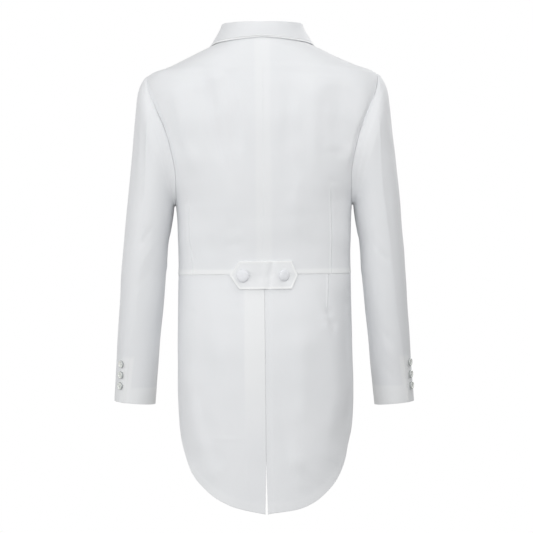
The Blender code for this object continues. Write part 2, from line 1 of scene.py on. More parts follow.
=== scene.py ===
# %% [markdown]
# A white evening tailcoat
#
# This lesson dresses a tailcoat in Blender. The coat is filled out as when worn, with nobody in it.
# The imported part gives the room that each piece takes. Every cloth piece is made again here as a
# thin shell on the same form, with close mesh at its seams and soft folds laid in one by one.
# A cloth simulation could also drape it, but pressed suiting holds the shape that it was sewn to,
# so exact surfaces with listed folds come closer to the real coat.

# %% Load the imported coat
import math

import bpy
import numpy as np
from mathutils import Matrix


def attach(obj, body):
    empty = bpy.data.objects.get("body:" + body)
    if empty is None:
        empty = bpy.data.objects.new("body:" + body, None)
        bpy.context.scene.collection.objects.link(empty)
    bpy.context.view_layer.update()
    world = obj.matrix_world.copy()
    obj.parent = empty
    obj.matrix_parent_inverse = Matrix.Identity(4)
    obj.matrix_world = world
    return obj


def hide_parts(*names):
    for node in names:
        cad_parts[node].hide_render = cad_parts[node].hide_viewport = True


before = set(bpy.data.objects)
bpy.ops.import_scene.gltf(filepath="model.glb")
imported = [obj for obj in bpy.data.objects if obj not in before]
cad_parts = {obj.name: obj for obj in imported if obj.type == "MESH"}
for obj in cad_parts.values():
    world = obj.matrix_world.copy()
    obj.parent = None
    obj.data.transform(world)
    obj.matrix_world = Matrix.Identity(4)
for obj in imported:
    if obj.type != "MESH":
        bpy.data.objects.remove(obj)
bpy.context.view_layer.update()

# %% [markdown]
# Reading a short table
#
# A tailor's draft is a list of measures at a few levels. A curve through those rows gives every
# level between them. The curve used here never swings past a row, so a table can't make a bulge.

# %% Tables and small helpers
SIDES = ((1, "left"), (-1, "right"))


def smooth_read(known, values, where):
    """Read a table's column between its rows along a curve that never overshoots a row."""
    step = np.diff(known)
    slope = np.diff(values) / step
    tangent = np.empty_like(values)
    tangent[0] = slope[0]
    tangent[-1] = slope[-1]
    before, after = slope[:-1], slope[1:]
    same_way = before * after > 0
    weight_1 = 2 * step[1:] + step[:-1]
    weight_2 = step[1:] + 2 * step[:-1]
    safe_before = np.where(same_way, before, 1.0)
    safe_after = np.where(same_way, after, 1.0)
    mean = (weight_1 + weight_2) / (weight_1 / safe_before + weight_2 / safe_after)
    tangent[1:-1] = np.where(same_way, mean, 0.0)
    where = np.clip(where, known[0], known[-1])
    cell = np.clip(np.searchsorted(known, where, side="right") - 1, 0, len(known) - 2)
    width = step[cell]
    t = (where - known[cell]) / width
    return (values[cell] * (1 + 2 * t) * (1 - t) ** 2
            + tangent[cell] * width * t * (1 - t) ** 2
            + values[cell + 1] * t * t * (3 - 2 * t)
            + tangent[cell + 1] * width * t * t * (t - 1))


class Table:
    """Rows of named columns, read anywhere along the first column."""

    def __init__(self, columns, rows):
        self.names = columns.split()
        self.data = np.array(sorted(rows), dtype=float)

    def read(self, name, where):
        column = self.data[:, self.names.index(name)]
        return smooth_read(self.data[:, 0], column, np.asarray(where, dtype=float))


def unit(vectors):
    """Scale vectors to length one."""
    return vectors / np.linalg.norm(vectors, axis=-1, keepdims=True)


def blend(first, last, share):
    """A value between two others."""
    return first + (last - first) * share


def ramp(value, start, end):
    """0 before start, 1 after end, and a soft rise between them."""
    t = np.clip((np.asarray(value, float) - start) / (end - start), 0, 1)
    return t * t * (3 - 2 * t)


def ridge(distance, height, middle, reach):
    """A soft raised line, highest at its middle; a negative height makes a groove."""
    return height * np.exp(-((distance - middle) / reach) ** 2)


def on_side(side):
    """Factors that take a point of the left half to its own side: 1 is left, -1 is right."""
    return np.array([side, 1.0, 1.0])


def put_in_scene(name, data):
    """A new object for a mesh, a light or a camera, linked to the scene."""
    made = bpy.data.objects.new(name, data)
    bpy.context.scene.collection.objects.link(made)
    return made


# %% [markdown]
# The body form
#
# A worn coat has no flat parts: each level section is a rounded oval, wide at the shoulders, drawn
# in at the waist and falling straight over the hips. One table of sections describes it from the
# nape to the hem, and every panel is a patch of that surface. Angle 0 is the wearer's left side,
# 90 the middle of the back and -90 the middle of the front.

# %% Levels and sections of the body
WAIST_Z = -0.440
NECK_POINT_Z = 0.010
NAPE_Z = 0.014
GORGE_Z = -0.045
BREAK_Z = -0.400
FRONT_POINT_Z = -0.485
ROLL_BY_SHOULDER_Z = -0.082

BODY = Table("z half_width back front side_y squareness", (
    (-0.905, 0.1680, 0.112, 0.112, 0.000, 2.4),
    (-0.690, 0.1685, 0.113, 0.114, 0.000, 2.4),
    (-0.600, 0.1680, 0.113, 0.115, 0.000, 2.4),
    (-0.520, 0.1665, 0.108, 0.114, 0.000, 2.4),
    (-0.470, 0.1655, 0.101, 0.112, 0.000, 2.4),
    (-0.440, 0.1650, 0.097, 0.111, 0.000, 2.4),
    (-0.400, 0.1650, 0.097, 0.112, 0.000, 2.4),
    (-0.340, 0.1665, 0.104, 0.118, 0.000, 2.45),
    (-0.308, 0.1690, 0.109, 0.122, 0.000, 2.5),
    (-0.265, 0.1860, 0.114, 0.126, 0.000, 2.5),
    (-0.200, 0.2100, 0.118, 0.128, 0.000, 2.5),
    (-0.150, 0.2190, 0.119, 0.126, 0.000, 2.5),
    (-0.120, 0.2250, 0.117, 0.121, 0.000, 2.45),
    (-0.090, 0.2275, 0.113, 0.113, 0.000, 2.4),
    (-0.075, 0.2260, 0.110, 0.107, 0.000, 2.3),
    (-0.060, 0.2205, 0.106, 0.100, 0.000, 2.2),
    (-0.051, 0.2080, 0.104, 0.096, 0.000, 2.2),
    (-0.044, 0.1870, 0.102, 0.092, 0.000, 2.2),
    (-0.029, 0.1520, 0.097, 0.084, 0.001, 2.2),
    (-0.013, 0.1180, 0.091, 0.074, 0.002, 2.2),
    (0.000, 0.0910, 0.084, 0.062, 0.004, 2.1),
    (0.010, 0.0735, 0.078, 0.050, 0.006, 2.0),
    (0.020, 0.0640, 0.068, 0.044, 0.008, 2.0),
))
PROBE = 0.0002
PROBE_ANGLE = 0.2
PROBE_RING = 0.02


def form(angle, z):
    """Points on the body at each angle and height."""
    angle, z = np.broadcast_arrays(np.asarray(angle, float), np.asarray(z, float))
    across = np.cos(np.radians(angle))
    along = np.sin(np.radians(angle))
    power = BODY.read("squareness", z)
    depth = np.where(along > 0, BODY.read("back", z), BODY.read("front", z))
    reach = ((np.abs(across) / BODY.read("half_width", z)) ** power
             + (np.abs(along) / depth) ** power) ** (-1 / power)
    return np.stack([reach * across, BODY.read("side_y", z) + reach * along, z], axis=-1)


def form_normal(angle, z):
    """Outward direction of the body form at a place."""
    angle, z = np.broadcast_arrays(np.asarray(angle, float), np.asarray(z, float))
    round_way = form(angle + PROBE_ANGLE, z) - form(angle - PROBE_ANGLE, z)
    up_way = form(angle, z + PROBE) - form(angle, z - PROBE)
    return unit(np.cross(round_way, up_way))


def angle_at_x(x, z, facing):
    """Where round the body a level line meets a distance x from the middle; facing 1 is the back."""
    x, z = np.broadcast_arrays(np.asarray(x, float), np.asarray(z, float))
    power = BODY.read("squareness", z)
    depth = BODY.read("back", z) if facing > 0 else BODY.read("front", z)
    share = np.clip(np.abs(x) / BODY.read("half_width", z), 0, 1)
    y = facing * depth * (1 - share ** power) ** (1 / power)
    return np.degrees(np.arctan2(y, x))


def height_at_x(x, angle):
    """How high on the shoulders the body form is x from the middle, at each angle round it."""
    levels = np.linspace(GORGE_Z - 0.020, NAPE_Z, 160)
    reach = form(np.asarray(angle)[:, None], levels)[..., 0]
    return np.array([np.interp(-target, -row, levels) for target, row in zip(x, reach)])


print("chest is", round(200 * BODY.read("half_width", -0.20).item(), 1), "cm wide inside the sleeves")

# %% [markdown]
# Armhole and sleeve
#
# A sleeve head is set into an upright oval hole and keeps a little fullness over the top of the
# shoulder. The sleeve is a tube of ovals, each one through an outer and an inner point. Near the
# armhole the ovals are eased so that the first one is the armhole itself.

# %% Armhole oval and sleeve rings
ARMHOLE_TIP_Z = -0.057
ARMHOLE_BOTTOM_Z = -0.308
ARMHOLE_BACK = 0.078
ARMHOLE_FRONT = 0.070
ARMHOLE_TAPER = 0.15
RIGHT_FOREARM_TWIST = -14.0
TWIST_RINGS = (5.0, 9.0)
ARMHOLE_EASE_RINGS = 4.0
LEFT_CUFF_FULLNESS = 0.0022
RIGHT_CUFF_SHIFT = -0.0034
RIGHT_CUFF_DROP = -0.0048
HANG_RINGS = (5.0, 12.0)

SLEEVE = Table("ring outer_x outer_z inner_x inner_z back front middle_y hind_seam front_seam", (
    (0, 0.2170, -0.0570, 0.1690, -0.3080, 0.078, 0.070, 0.000, 60, 120),
    (1, 0.2245, -0.0625, 0.1710, -0.3085, 0.080, 0.072, 0.000, 62, 120),
    (2, 0.2330, -0.0735, 0.1716, -0.3110, 0.082, 0.074, 0.000, 64, 120),
    (3, 0.2398, -0.0940, 0.1720, -0.3150, 0.082, 0.075, 0.000, 66, 120),
    (4, 0.2445, -0.1310, 0.1726, -0.3210, 0.080, 0.075, 0.000, 70, 121),
    (5, 0.2500, -0.1850, 0.1736, -0.3290, 0.077, 0.073, 0.000, 74, 121),
    (6, 0.2560, -0.2450, 0.1755, -0.3400, 0.073, 0.070, 0.000, 78, 122),
    (7, 0.2615, -0.3000, 0.1790, -0.3580, 0.069, 0.067, 0.000, 82, 122),
    (8, 0.2660, -0.3520, 0.1840, -0.3820, 0.066, 0.065, -0.002, 85, 123),
    (9, 0.2720, -0.4130, 0.1880, -0.4250, 0.063, 0.063, -0.006, 86, 123),
    (10, 0.2775, -0.4900, 0.1945, -0.4920, 0.059, 0.059, -0.013, 83, 124),
    (11, 0.2825, -0.5660, 0.2025, -0.5660, 0.055, 0.056, -0.022, 75, 124),
    (12, 0.2875, -0.6430, 0.2093, -0.6430, 0.051, 0.052, -0.033, 67, 125),
    (13, 0.2905, -0.6820, 0.2140, -0.6890, 0.050, 0.050, -0.039, 66, 125),
))
LAST_RING = SLEEVE.data[-1, 0]
DROP_RINGS = (9.0, LAST_RING)


def armhole(turn):
    """Angle and height on the body of the armhole: turn 0 is its tip, 90 its back, 180 its foot."""
    turn = np.radians(np.asarray(turn, float))
    middle = (ARMHOLE_TIP_Z + ARMHOLE_BOTTOM_Z) / 2
    z = middle + (ARMHOLE_TIP_Z - middle) * np.cos(turn)
    reach = np.where(np.sin(turn) > 0, ARMHOLE_BACK, ARMHOLE_FRONT)
    y = reach * np.sin(turn) * (1 - ARMHOLE_TAPER * np.cos(turn))
    power = BODY.read("squareness", z)
    depth = np.where(y > 0, BODY.read("back", z), BODY.read("front", z))
    x = BODY.read("half_width", z) * (1 - (np.abs(y) / depth) ** power) ** (1 / power)
    return np.degrees(np.arctan2(y, x)), z


def sleeve_oval(turn, ring):
    """A sleeve ring before it is fitted to the armhole."""
    turn, ring = np.broadcast_arrays(np.asarray(turn, float), np.asarray(ring, float))
    across = np.cos(np.radians(turn))
    along = np.sin(np.radians(turn))
    outer_x, inner_x = SLEEVE.read("outer_x", ring), SLEEVE.read("inner_x", ring)
    outer_z, inner_z = SLEEVE.read("outer_z", ring), SLEEVE.read("inner_z", ring)
    depth = np.where(along > 0, SLEEVE.read("back", ring), SLEEVE.read("front", ring))
    return np.stack([
        (outer_x + inner_x) / 2 + (outer_x - inner_x) / 2 * across,
        SLEEVE.read("middle_y", ring) + depth * along,
        (outer_z + inner_z) / 2 + (outer_z - inner_z) / 2 * across], axis=-1)


def sleeve(turn, ring):
    """Points on the sleeve, whose first ring is the armhole itself."""
    turn, ring = np.broadcast_arrays(np.asarray(turn, float), np.asarray(ring, float))
    fade = np.clip(1 - ring / ARMHOLE_EASE_RINGS, 0, 1) ** 2
    correction = form(*armhole(turn)) - sleeve_oval(turn, 0.0 * ring)
    return sleeve_oval(turn, ring) + correction * fade[..., None]


def sleeve_normal(turn, ring):
    """Outward direction of the sleeve at a place."""
    turn, ring = np.broadcast_arrays(np.asarray(turn, float), np.asarray(ring, float))
    up, down = (np.clip(ring + step, 0, LAST_RING) for step in (-PROBE_RING, PROBE_RING))
    round_way = sleeve(turn + PROBE_ANGLE, ring) - sleeve(turn - PROBE_ANGLE, ring)
    return unit(np.cross(sleeve(turn, down) - sleeve(turn, up), round_way))


def forearm_twist(ring, side):
    """How far the right sleeve's seams turn towards its outside, below the elbow."""
    return (RIGHT_FOREARM_TWIST if side < 0 else 0.0) * ramp(ring, *TWIST_RINGS)


def cuff_hang(ring, side):
    """How far the right sleeve swings in towards the body and hangs lower, below the elbow."""
    right = 1.0 if side < 0 else 0.0
    shift = right * RIGHT_CUFF_SHIFT * ramp(ring, *HANG_RINGS)
    drop = right * RIGHT_CUFF_DROP * ramp(ring, *DROP_RINGS)
    return np.stack([shift, 0.0 * shift, drop], axis=-1)


arm_line = sleeve(0.0, np.linspace(0, LAST_RING, 60))
arm_length = np.linalg.norm(np.diff(arm_line, axis=0), axis=1).sum()
print("sleeve is", round(100 * arm_length, 1), "cm long down its outside")

# %% [markdown]
# Finishes
#
# Everything on the coat is white, so the finishes differ in weave, sheen and gloss more than in
# colour. Each one could be a picture of cloth, but a pattern worked out from the real thread
# spacing stays sharp at any distance. Colours are written as sRGB hex, the way a colour card gives
# them, and one function turns them into the linear values that a shader works with.

# %% Helpers for finishes
MIX_FACTOR, MIX_A, MIX_B, MIXED = 0, 6, 7, 2
BLEND_A, BLEND_B = 2, 3


def linear(colour):
    """An sRGB hex colour as linear RGBA."""
    parts = [int(colour[i:i + 2], 16) / 255 for i in (1, 3, 5)]
    return [p / 12.92 if p <= 0.04045 else ((p + 0.055) / 1.055) ** 2.4 for p in parts] + [1.0]


def add(tree, kind, links=None, values=None, **settings):
    """Add a node; links join its inputs to other nodes' outputs, and values set its own sockets."""
    node = tree.nodes.new(kind)
    for key, value in settings.items():
        setattr(node, key, value)
    for socket, value in (values or {}).items():
        node.inputs[socket].default_value = value
    for socket, source in (links or {}).items():
        tree.links.new(source, node.inputs[socket])
    return node


def finish(name, values):
    """A new finish with values on its shader's own sockets, and its node tree and shader."""
    made = bpy.data.materials.new(name)
    made.use_nodes = True
    shader = made.node_tree.nodes["Principled BSDF"]
    for socket, value in values.items():
        shader.inputs[socket].default_value = value
    print("finish", name)
    return made, made.node_tree, shader


def clouded(tree, scale, detail, darker, lighter):
    """A white that drifts between two close ones, by the place on the piece."""
    place = add(tree, "ShaderNodeTexCoord").outputs["Object"]
    cloud = add(tree, "ShaderNodeTexNoise", {"Vector": place}, {"Scale": scale, "Detail": detail})
    mixed = add(tree, "ShaderNodeMix", {MIX_FACTOR: cloud.outputs["Fac"]},
                {MIX_A: linear(darker), MIX_B: linear(lighter)}, data_type="RGBA")
    return mixed.outputs[MIXED]


# %% [markdown]
# White worsted suiting
#
# Evening cloth is a fine wool twill: steep diagonal ribs, half a millimetre apart, pressed flat.
# To the eye it is matt white with a very slight bloom at grazing angles. Where seam turnings or a
# facing lie behind it, two layers let less shadow through, so the cloth reads a shade whiter there.
# The ribs are drawn 1.1 mm apart, about twice their real spacing, so that they hold in a close view.

# %% Suiting finish
TWILL_SPACING = 0.0011
LINING_SPACING = 0.0009
COVER_SPACING = 0.0008
THREAD_SPACING = 0.0008
WAVE_PERIOD = 2 * math.pi / 20
TWILL_TURN = (0.0, 0.0, math.radians(27.0))


def weave_bump(tree, shader, spacing, strength, distance):
    """Diagonal ribs crossed by single threads, as a small bump on the shader."""
    uv = add(tree, "ShaderNodeUVMap", uv_map="cloth").outputs["UV"]
    turned = add(tree, "ShaderNodeMapping", {"Vector": uv}, {"Rotation": TWILL_TURN})
    rib = add(tree, "ShaderNodeTexWave", {"Vector": turned.outputs["Vector"]},
              {"Scale": WAVE_PERIOD / spacing, "Distortion": 0.35, "Detail": 1.0})
    thread = add(tree, "ShaderNodeTexWave", {"Vector": uv},
                 {"Scale": WAVE_PERIOD / THREAD_SPACING, "Distortion": 0.6, "Detail": 1.0},
                 bands_direction="Y")
    weave = add(tree, "ShaderNodeMix", {BLEND_A: rib.outputs["Fac"], BLEND_B: thread.outputs["Fac"]},
                {MIX_FACTOR: 0.35})
    bump = add(tree, "ShaderNodeBump", {"Height": weave.outputs[0]},
               {"Strength": strength, "Distance": distance})
    tree.links.new(bump.outputs["Normal"], shader.inputs["Normal"])


suiting, tree, shader = finish("white_worsted_twill_pressed", {
    "Roughness": 0.78, "Sheen Weight": 0.12, "Sheen Roughness": 0.45, "Specular IOR Level": 0.35})
weave_bump(tree, shader, TWILL_SPACING, 0.25, 0.00025)
single = clouded(tree, 9.0, 3.0, "#e4e6e8", "#eaebed")
doubled = add(tree, "ShaderNodeAttribute", attribute_name="doubled")
layered = add(tree, "ShaderNodeMix", {MIX_FACTOR: doubled.outputs["Fac"], MIX_A: single},
              {MIX_B: linear("#f2f3f3")}, data_type="RGBA")
tree.links.new(layered.outputs[MIXED], shader.inputs["Base Color"])

# %% [markdown]
# White satin lining
#
# The inside of an evening coat is faced with a satin lining. Long floating threads give it a low,
# soft gloss that runs across the folds. It only shows through the open front and the neck.

# %% Lining finish
lining, tree, shader = finish("white_satin_lining_woven", {
    "Base Color": linear("#eeedea"), "Roughness": 0.42, "Sheen Weight": 0.08, "Anisotropic": 0.4,
    "Specular IOR Level": 0.5})
weave_bump(tree, shader, LINING_SPACING, 0.08, 0.0001)

# %% [markdown]
# Covered buttons, pearl buttons and thread
#
# The two waist buttons are moulds covered in the coat's own cloth, stretched tight, so their weave
# is finer and they read a touch cooler. The cuff buttons are turned from mother of pearl and
# polished: a hard clear gloss over pale layers that shift slightly towards green and pink. A grey
# band is painted round the outer side of each rim as painted shade, where the rim turns away from
# the light. Sewing silk is a lustrous white thread.

# %% Button and thread finishes
PEARL_FACE = 0.0064
PEARL_RIM = 0.0074
covered, tree, shader = finish("button_cover_stretched_worsted", {
    "Roughness": 0.7, "Sheen Weight": 0.15, "Sheen Roughness": 0.4, "Specular IOR Level": 0.4})
weave_bump(tree, shader, COVER_SPACING, 0.22, 0.0002)
tree.links.new(clouded(tree, 160.0, 2.0, "#e2e4e8", "#ebecef"), shader.inputs["Base Color"])

pearl, tree, shader = finish("mother_of_pearl_turned_polished", {
    "Roughness": 0.16, "IOR": 1.56, "Coat Weight": 0.5, "Coat Roughness": 0.06})
place = add(tree, "ShaderNodeTexCoord").outputs["Object"]
grain = add(tree, "ShaderNodeTexNoise", {"Vector": place},
            {"Scale": 240.0, "Detail": 4.0, "Distortion": 1.8})
sheen = add(tree, "ShaderNodeValToRGB", {"Fac": grain.outputs["Fac"]})
sheen.color_ramp.elements[0].color = linear("#d5d8d4")
sheen.color_ramp.elements[0].position = 0.30
sheen.color_ramp.elements[1].color = linear("#f3ecea")
sheen.color_ramp.elements[1].position = 0.70
middle = sheen.color_ramp.elements.new(0.5)
middle.color = linear("#e6ebe6")
# Painted shade: the outer side of each pearl rim is mixed towards grey, where the rim turns from the light.
across = add(tree, "ShaderNodeUVMap", uv_map="cloth").outputs["UV"]
reach = add(tree, "ShaderNodeVectorMath", {0: across}, operation="LENGTH")
rim = add(tree, "ShaderNodeMapRange", {"Value": reach.outputs["Value"]},
          {"From Min": PEARL_FACE, "From Max": PEARL_RIM})
painted_rim_shade = add(tree, "ShaderNodeMix", {MIX_FACTOR: rim.outputs["Result"], MIX_A: sheen.outputs["Color"]},
                 {MIX_B: linear("#a3a7a8")}, data_type="RGBA")
tree.links.new(painted_rim_shade.outputs[MIXED], shader.inputs["Base Color"])

silk, tree, shader = finish("white_sewing_silk_twisted", {
    "Roughness": 0.45, "Sheen Weight": 0.2, "Specular IOR Level": 0.5})
tree.links.new(clouded(tree, 900.0, 1.0, "#dddfe2", "#f0f1f2"), shader.inputs["Base Color"])

# %% [markdown]
# Mesh that is close where cloth is sewn
#
# A seam is only a millimetre or two wide, while the cloth between seams is calm. An even grid fine
# enough for the seams would have millions of faces, so each grid has close steps beside its edges
# and darts, and wide steps in between. Every piece turns down into its seams along a quarter round,
# which leaves the fine groove that a pressed seam shows.

# %% Grids and their edges
CLOTH = 0.0018
EDGE_REACH = 0.0011
FLAT_REACH = 0.0006
ROUND_DEPTH = 0.5
FLAT_DEPTH = 0.10
CLOSE_STEPS = np.array([0.00012, 0.00035, 0.0007, 0.0012, 0.0019, 0.0030])
PITCH = 0.0038


def stations(length, marks, pitch=PITCH):
    """Shares of a length, close together beside each mark, and the column of each mark."""
    marks = [np.atleast_1d(np.asarray(mark, float))[:, None] for mark in marks]
    parts, places = [marks[0]], [0]
    near = CLOSE_STEPS / length
    for first, last in zip(marks[:-1], marks[1:]):
        opening = first + near
        closing = last - near[::-1]
        room = float(np.mean(last - first)) * length - 2 * CLOSE_STEPS[-1]
        count = max(int(np.ceil(room / pitch)), 1)
        inner = np.linspace(0, 1, count + 1)[1:-1]
        parts += [opening, blend(opening[:, -1:], closing[:, :1], inner), closing, last]
        places.append(sum(part.shape[1] for part in parts) - 1)
    rows = max(part.shape[0] for part in parts)
    return np.concatenate([np.broadcast_to(p, (rows, p.shape[1])) for p in parts], axis=1), places


def run_lengths(points, axis):
    """How far each grid point lies along its row (axis 1) or its column (axis 0)."""
    steps = np.linalg.norm(np.diff(points, axis=axis), axis=-1)
    start = np.zeros_like(np.take(steps, [0], axis=axis))
    return np.concatenate([start, np.cumsum(steps, axis=axis)], axis=axis)


def edge_distances(points):
    """Distance of each grid point from the left, right, bottom and top edges of its piece."""
    across, up = run_lengths(points, 1), run_lengths(points, 0)
    return {"left": across, "right": across[:, -1:] - across, "bottom": up, "top": up[-1:] - up}


grid_sizes = {}


def shell(name, points, normals, side, doubled=None, cloth=CLOTH, outside=suiting, inside=lining,
          flat=()):
    """A closed thin shell whose outer side follows the points; flat edges turn in the least."""
    rows, columns = points.shape[:2]
    grid_sizes[name] = (rows, columns)
    near, depth = np.zeros((rows, columns)), np.full((rows, columns), ROUND_DEPTH)
    for edge, away in edge_distances(points).items():
        reach, turned_in = (FLAT_REACH, FLAT_DEPTH) if edge in flat else (EDGE_REACH, ROUND_DEPTH)
        here = np.clip(1 - away / reach, 0, 1)
        depth = np.where(here > near, turned_in, depth)
        near = np.maximum(near, here)
    turn = 1 - np.sqrt(1 - near ** 2)
    outer = (points - normals * (cloth * depth * turn)[..., None]) * on_side(side)
    inner = (points - normals * (cloth * (1 - (1 - depth) * turn))[..., None]) * on_side(side)
    number = np.arange(rows * columns).reshape(rows, columns)
    back = number.copy()
    back[1:-1, 1:-1] = rows * columns + np.arange((rows - 2) * (columns - 2)).reshape(rows - 2, -1)
    vertices = np.concatenate([outer.reshape(-1, 3), inner[1:-1, 1:-1].reshape(-1, 3)])
    faces = []
    for grid, step in ((number, 1), (back, -1)):
        quad = np.stack([grid[:-1, :-1], grid[:-1, 1:], grid[1:, 1:], grid[1:, :-1]], axis=-1)
        faces.append(quad.reshape(-1, 4)[:, ::step])
    faces = np.concatenate(faces)
    a, b, c, d = (vertices[faces[:, k]] for k in range(4))
    if np.sum(a * np.cross(b, c)) + np.sum(a * np.cross(c, d)) < 0:
        faces = faces[:, ::-1]
    uv = np.stack([run_lengths(points, 1), run_lengths(points, 0)], axis=-1)
    uv = np.concatenate([uv.reshape(-1, 2), uv[1:-1, 1:-1].reshape(-1, 2)])
    mesh = bpy.data.meshes.new(name)
    mesh.from_pydata(vertices.tolist(), [], faces.tolist())
    layer = mesh.uv_layers.new(name="cloth")
    layer.uv.foreach_set("vector", uv[faces.reshape(-1)].astype(np.float32).reshape(-1))
    shade = mesh.attributes.new("doubled", "FLOAT", "POINT")
    doubled = np.zeros((rows, columns)) if doubled is None else np.broadcast_to(doubled, (rows, columns))
    both = np.concatenate([doubled.reshape(-1), 0 * doubled[1:-1, 1:-1].reshape(-1)])
    shade.data.foreach_set("value", both.astype(np.float32))
    mesh.materials.append(outside)
    mesh.materials.append(inside)
    half = len(faces) // 2
    mesh.polygons.foreach_set("material_index", np.repeat([0, 1], half).astype(np.int32))
    mesh.shade_smooth()
    print(name, rows, "x", columns, "points,", 2 * len(faces), "triangles")
    return put_in_scene(name, mesh)


# %% [markdown]
# Folds
#
# Pressed cloth is never quite smooth. Long soft folds hang from the shoulder blades and run down
# the tails, short ones break at the elbows, and a faint ripple goes everywhere. Noise alone looks
# like crumpled paper, so each real fold is a line with its own width and depth, wavering a little
# and dying out at its ends. A ridge has a positive depth and a trough a negative one.

# %% Drawing folds and the overall ripple
random = np.random.default_rng(1907)
WAVE_WAYS = unit(random.normal(size=(12, 3)) * np.array([1.0, 1.0, 0.55]))
WAVE_LENGTHS = random.uniform(0.070, 0.210, 12)
WAVE_STARTS = random.uniform(0, 2 * math.pi, 12)
RIPPLE = 0.00012
WARP_DEPTH = 0.012
WARP_RATE = 31.0
WARP_STARTS = np.array([0.3, 1.1, 2.0])
FOLD_SWELLS = ((0.22, 7.0, 1.7), (0.13, 17.0, 1.0))
FOLD_FADE = 0.30
FOLD_END_SHARE = 0.12


def ripple(points):
    """A faint unevenness at each point of space, so that neighbouring pieces share it."""
    warped = points + WARP_DEPTH * np.sin(points[..., [2, 0, 1]] * WARP_RATE + WARP_STARTS)
    total = 0.0
    for way, length, start in zip(WAVE_WAYS, WAVE_LENGTHS, WAVE_STARTS):
        total = total + np.sin(warped @ way * 2 * math.pi / length + start)
    return RIPPLE * total


def fold(u, v, path, width, depth, seed=0):
    """Height of one soft fold along a path of (u, v) points."""
    path = np.array(path, float)
    best = np.full(np.shape(u), 9.0)
    place = np.zeros(np.shape(u))
    runs = np.concatenate([[0], np.cumsum(np.linalg.norm(np.diff(path, axis=0), axis=1))])
    for (u0, v0), (u1, v1), run in zip(path[:-1], path[1:], runs):
        du, dv = u1 - u0, v1 - v0
        size = math.hypot(du, dv)
        t = np.clip(((u - u0) * du + (v - v0) * dv) / size ** 2, 0, 1)
        gap = np.hypot(u - u0 - t * du, v - v0 - t * dv)
        place = np.where(gap < best, (run + t * size) / runs[-1], place)
        best = np.minimum(best, gap)
    swell = 1
    for size, rate, shift in FOLD_SWELLS:
        swell = swell + size * np.sin(place * rate + seed * shift)
    ends = ramp(place, 0.0, FOLD_FADE) * ramp(1 - place, 0.0, FOLD_FADE)
    return ridge(best, depth * swell * blend(FOLD_END_SHARE, 1, ends), 0, width * swell)


def folds(u, v, rows):
    """The sum of several folds, each a path, a width and a depth in millimetres."""
    total = np.zeros(np.shape(u))
    for seed, (path, width, depth) in enumerate(rows):
        total = total + fold(u, v, path, width / 1000, depth / 1000, seed)
    return total


# %% [markdown]
# Where the folds of the body lie
#
# The photographed side is the back. Its folds are placed by their real distance from the centre
# seam and from the neck. Two long troughs run from the left shoulder blade towards the centre, a
# fuller roll stands beside each armhole, and the right tail swings into a broad slanting fold.
# The fronts, which are hidden, get the same kind: a pull from the shoulder and a break at the waist.
# The small of the back is filled out a little, as it is by the lining and canvas of a real coat.

# %% Fold tables: paths as (distance from the middle, height), then width and depth in mm
BACK_FOLDS = {1: (
    (((0.168, -0.070), (0.158, -0.120), (0.150, -0.180), (0.118, -0.264)), 17, 5.2),
    (((0.198, -0.085), (0.188, -0.130), (0.176, -0.190), (0.160, -0.262)), 14, 2.6),
    (((0.160, -0.262), (0.156, -0.300), (0.154, -0.360), (0.152, -0.420)), 14, 2.2),
    (((0.120, -0.035), (0.106, -0.090), (0.094, -0.150), (0.078, -0.210), (0.058, -0.270)), 15, -6.8),
    (((0.090, -0.045), (0.082, -0.100), (0.072, -0.150)), 10, 2.8),
    (((0.060, -0.040), (0.055, -0.110), (0.051, -0.160), (0.048, -0.230)), 11, -4.2),
    (((0.040, -0.030), (0.042, -0.120), (0.036, -0.230)), 12, 1.3),
    (((0.134, -0.285), (0.112, -0.350), (0.098, -0.420)), 13, -1.6),
    (((0.060, -0.330), (0.050, -0.400)), 14, -1.2),
), -1: (
    (((0.192, -0.080), (0.182, -0.140), (0.172, -0.190), (0.156, -0.250)), 14, 2.8),
    (((0.198, -0.085), (0.190, -0.130), (0.178, -0.190), (0.162, -0.262)), 14, 3.0),
    (((0.162, -0.262), (0.158, -0.300), (0.156, -0.360), (0.154, -0.420)), 14, 2.4),
    (((0.150, -0.045), (0.146, -0.110), (0.140, -0.170), (0.144, -0.230)), 17, -2.6),
    (((0.102, -0.045), (0.096, -0.120), (0.094, -0.200), (0.100, -0.270)), 15, 2.9),
    (((0.050, -0.060), (0.048, -0.130), (0.044, -0.200), (0.056, -0.280)), 14, -2.6),
    (((0.070, -0.240), (0.060, -0.310), (0.060, -0.380)), 13, 1.5),
    (((0.162, -0.218), (0.134, -0.212), (0.106, -0.214)), 6, -0.8),
    (((0.160, -0.203), (0.134, -0.199), (0.110, -0.202)), 6, 0.5),
    (((0.148, -0.262), (0.134, -0.268), (0.118, -0.262)), 6, -0.8),
    (((0.098, -0.330), (0.088, -0.420)), 15, -0.8),
)}
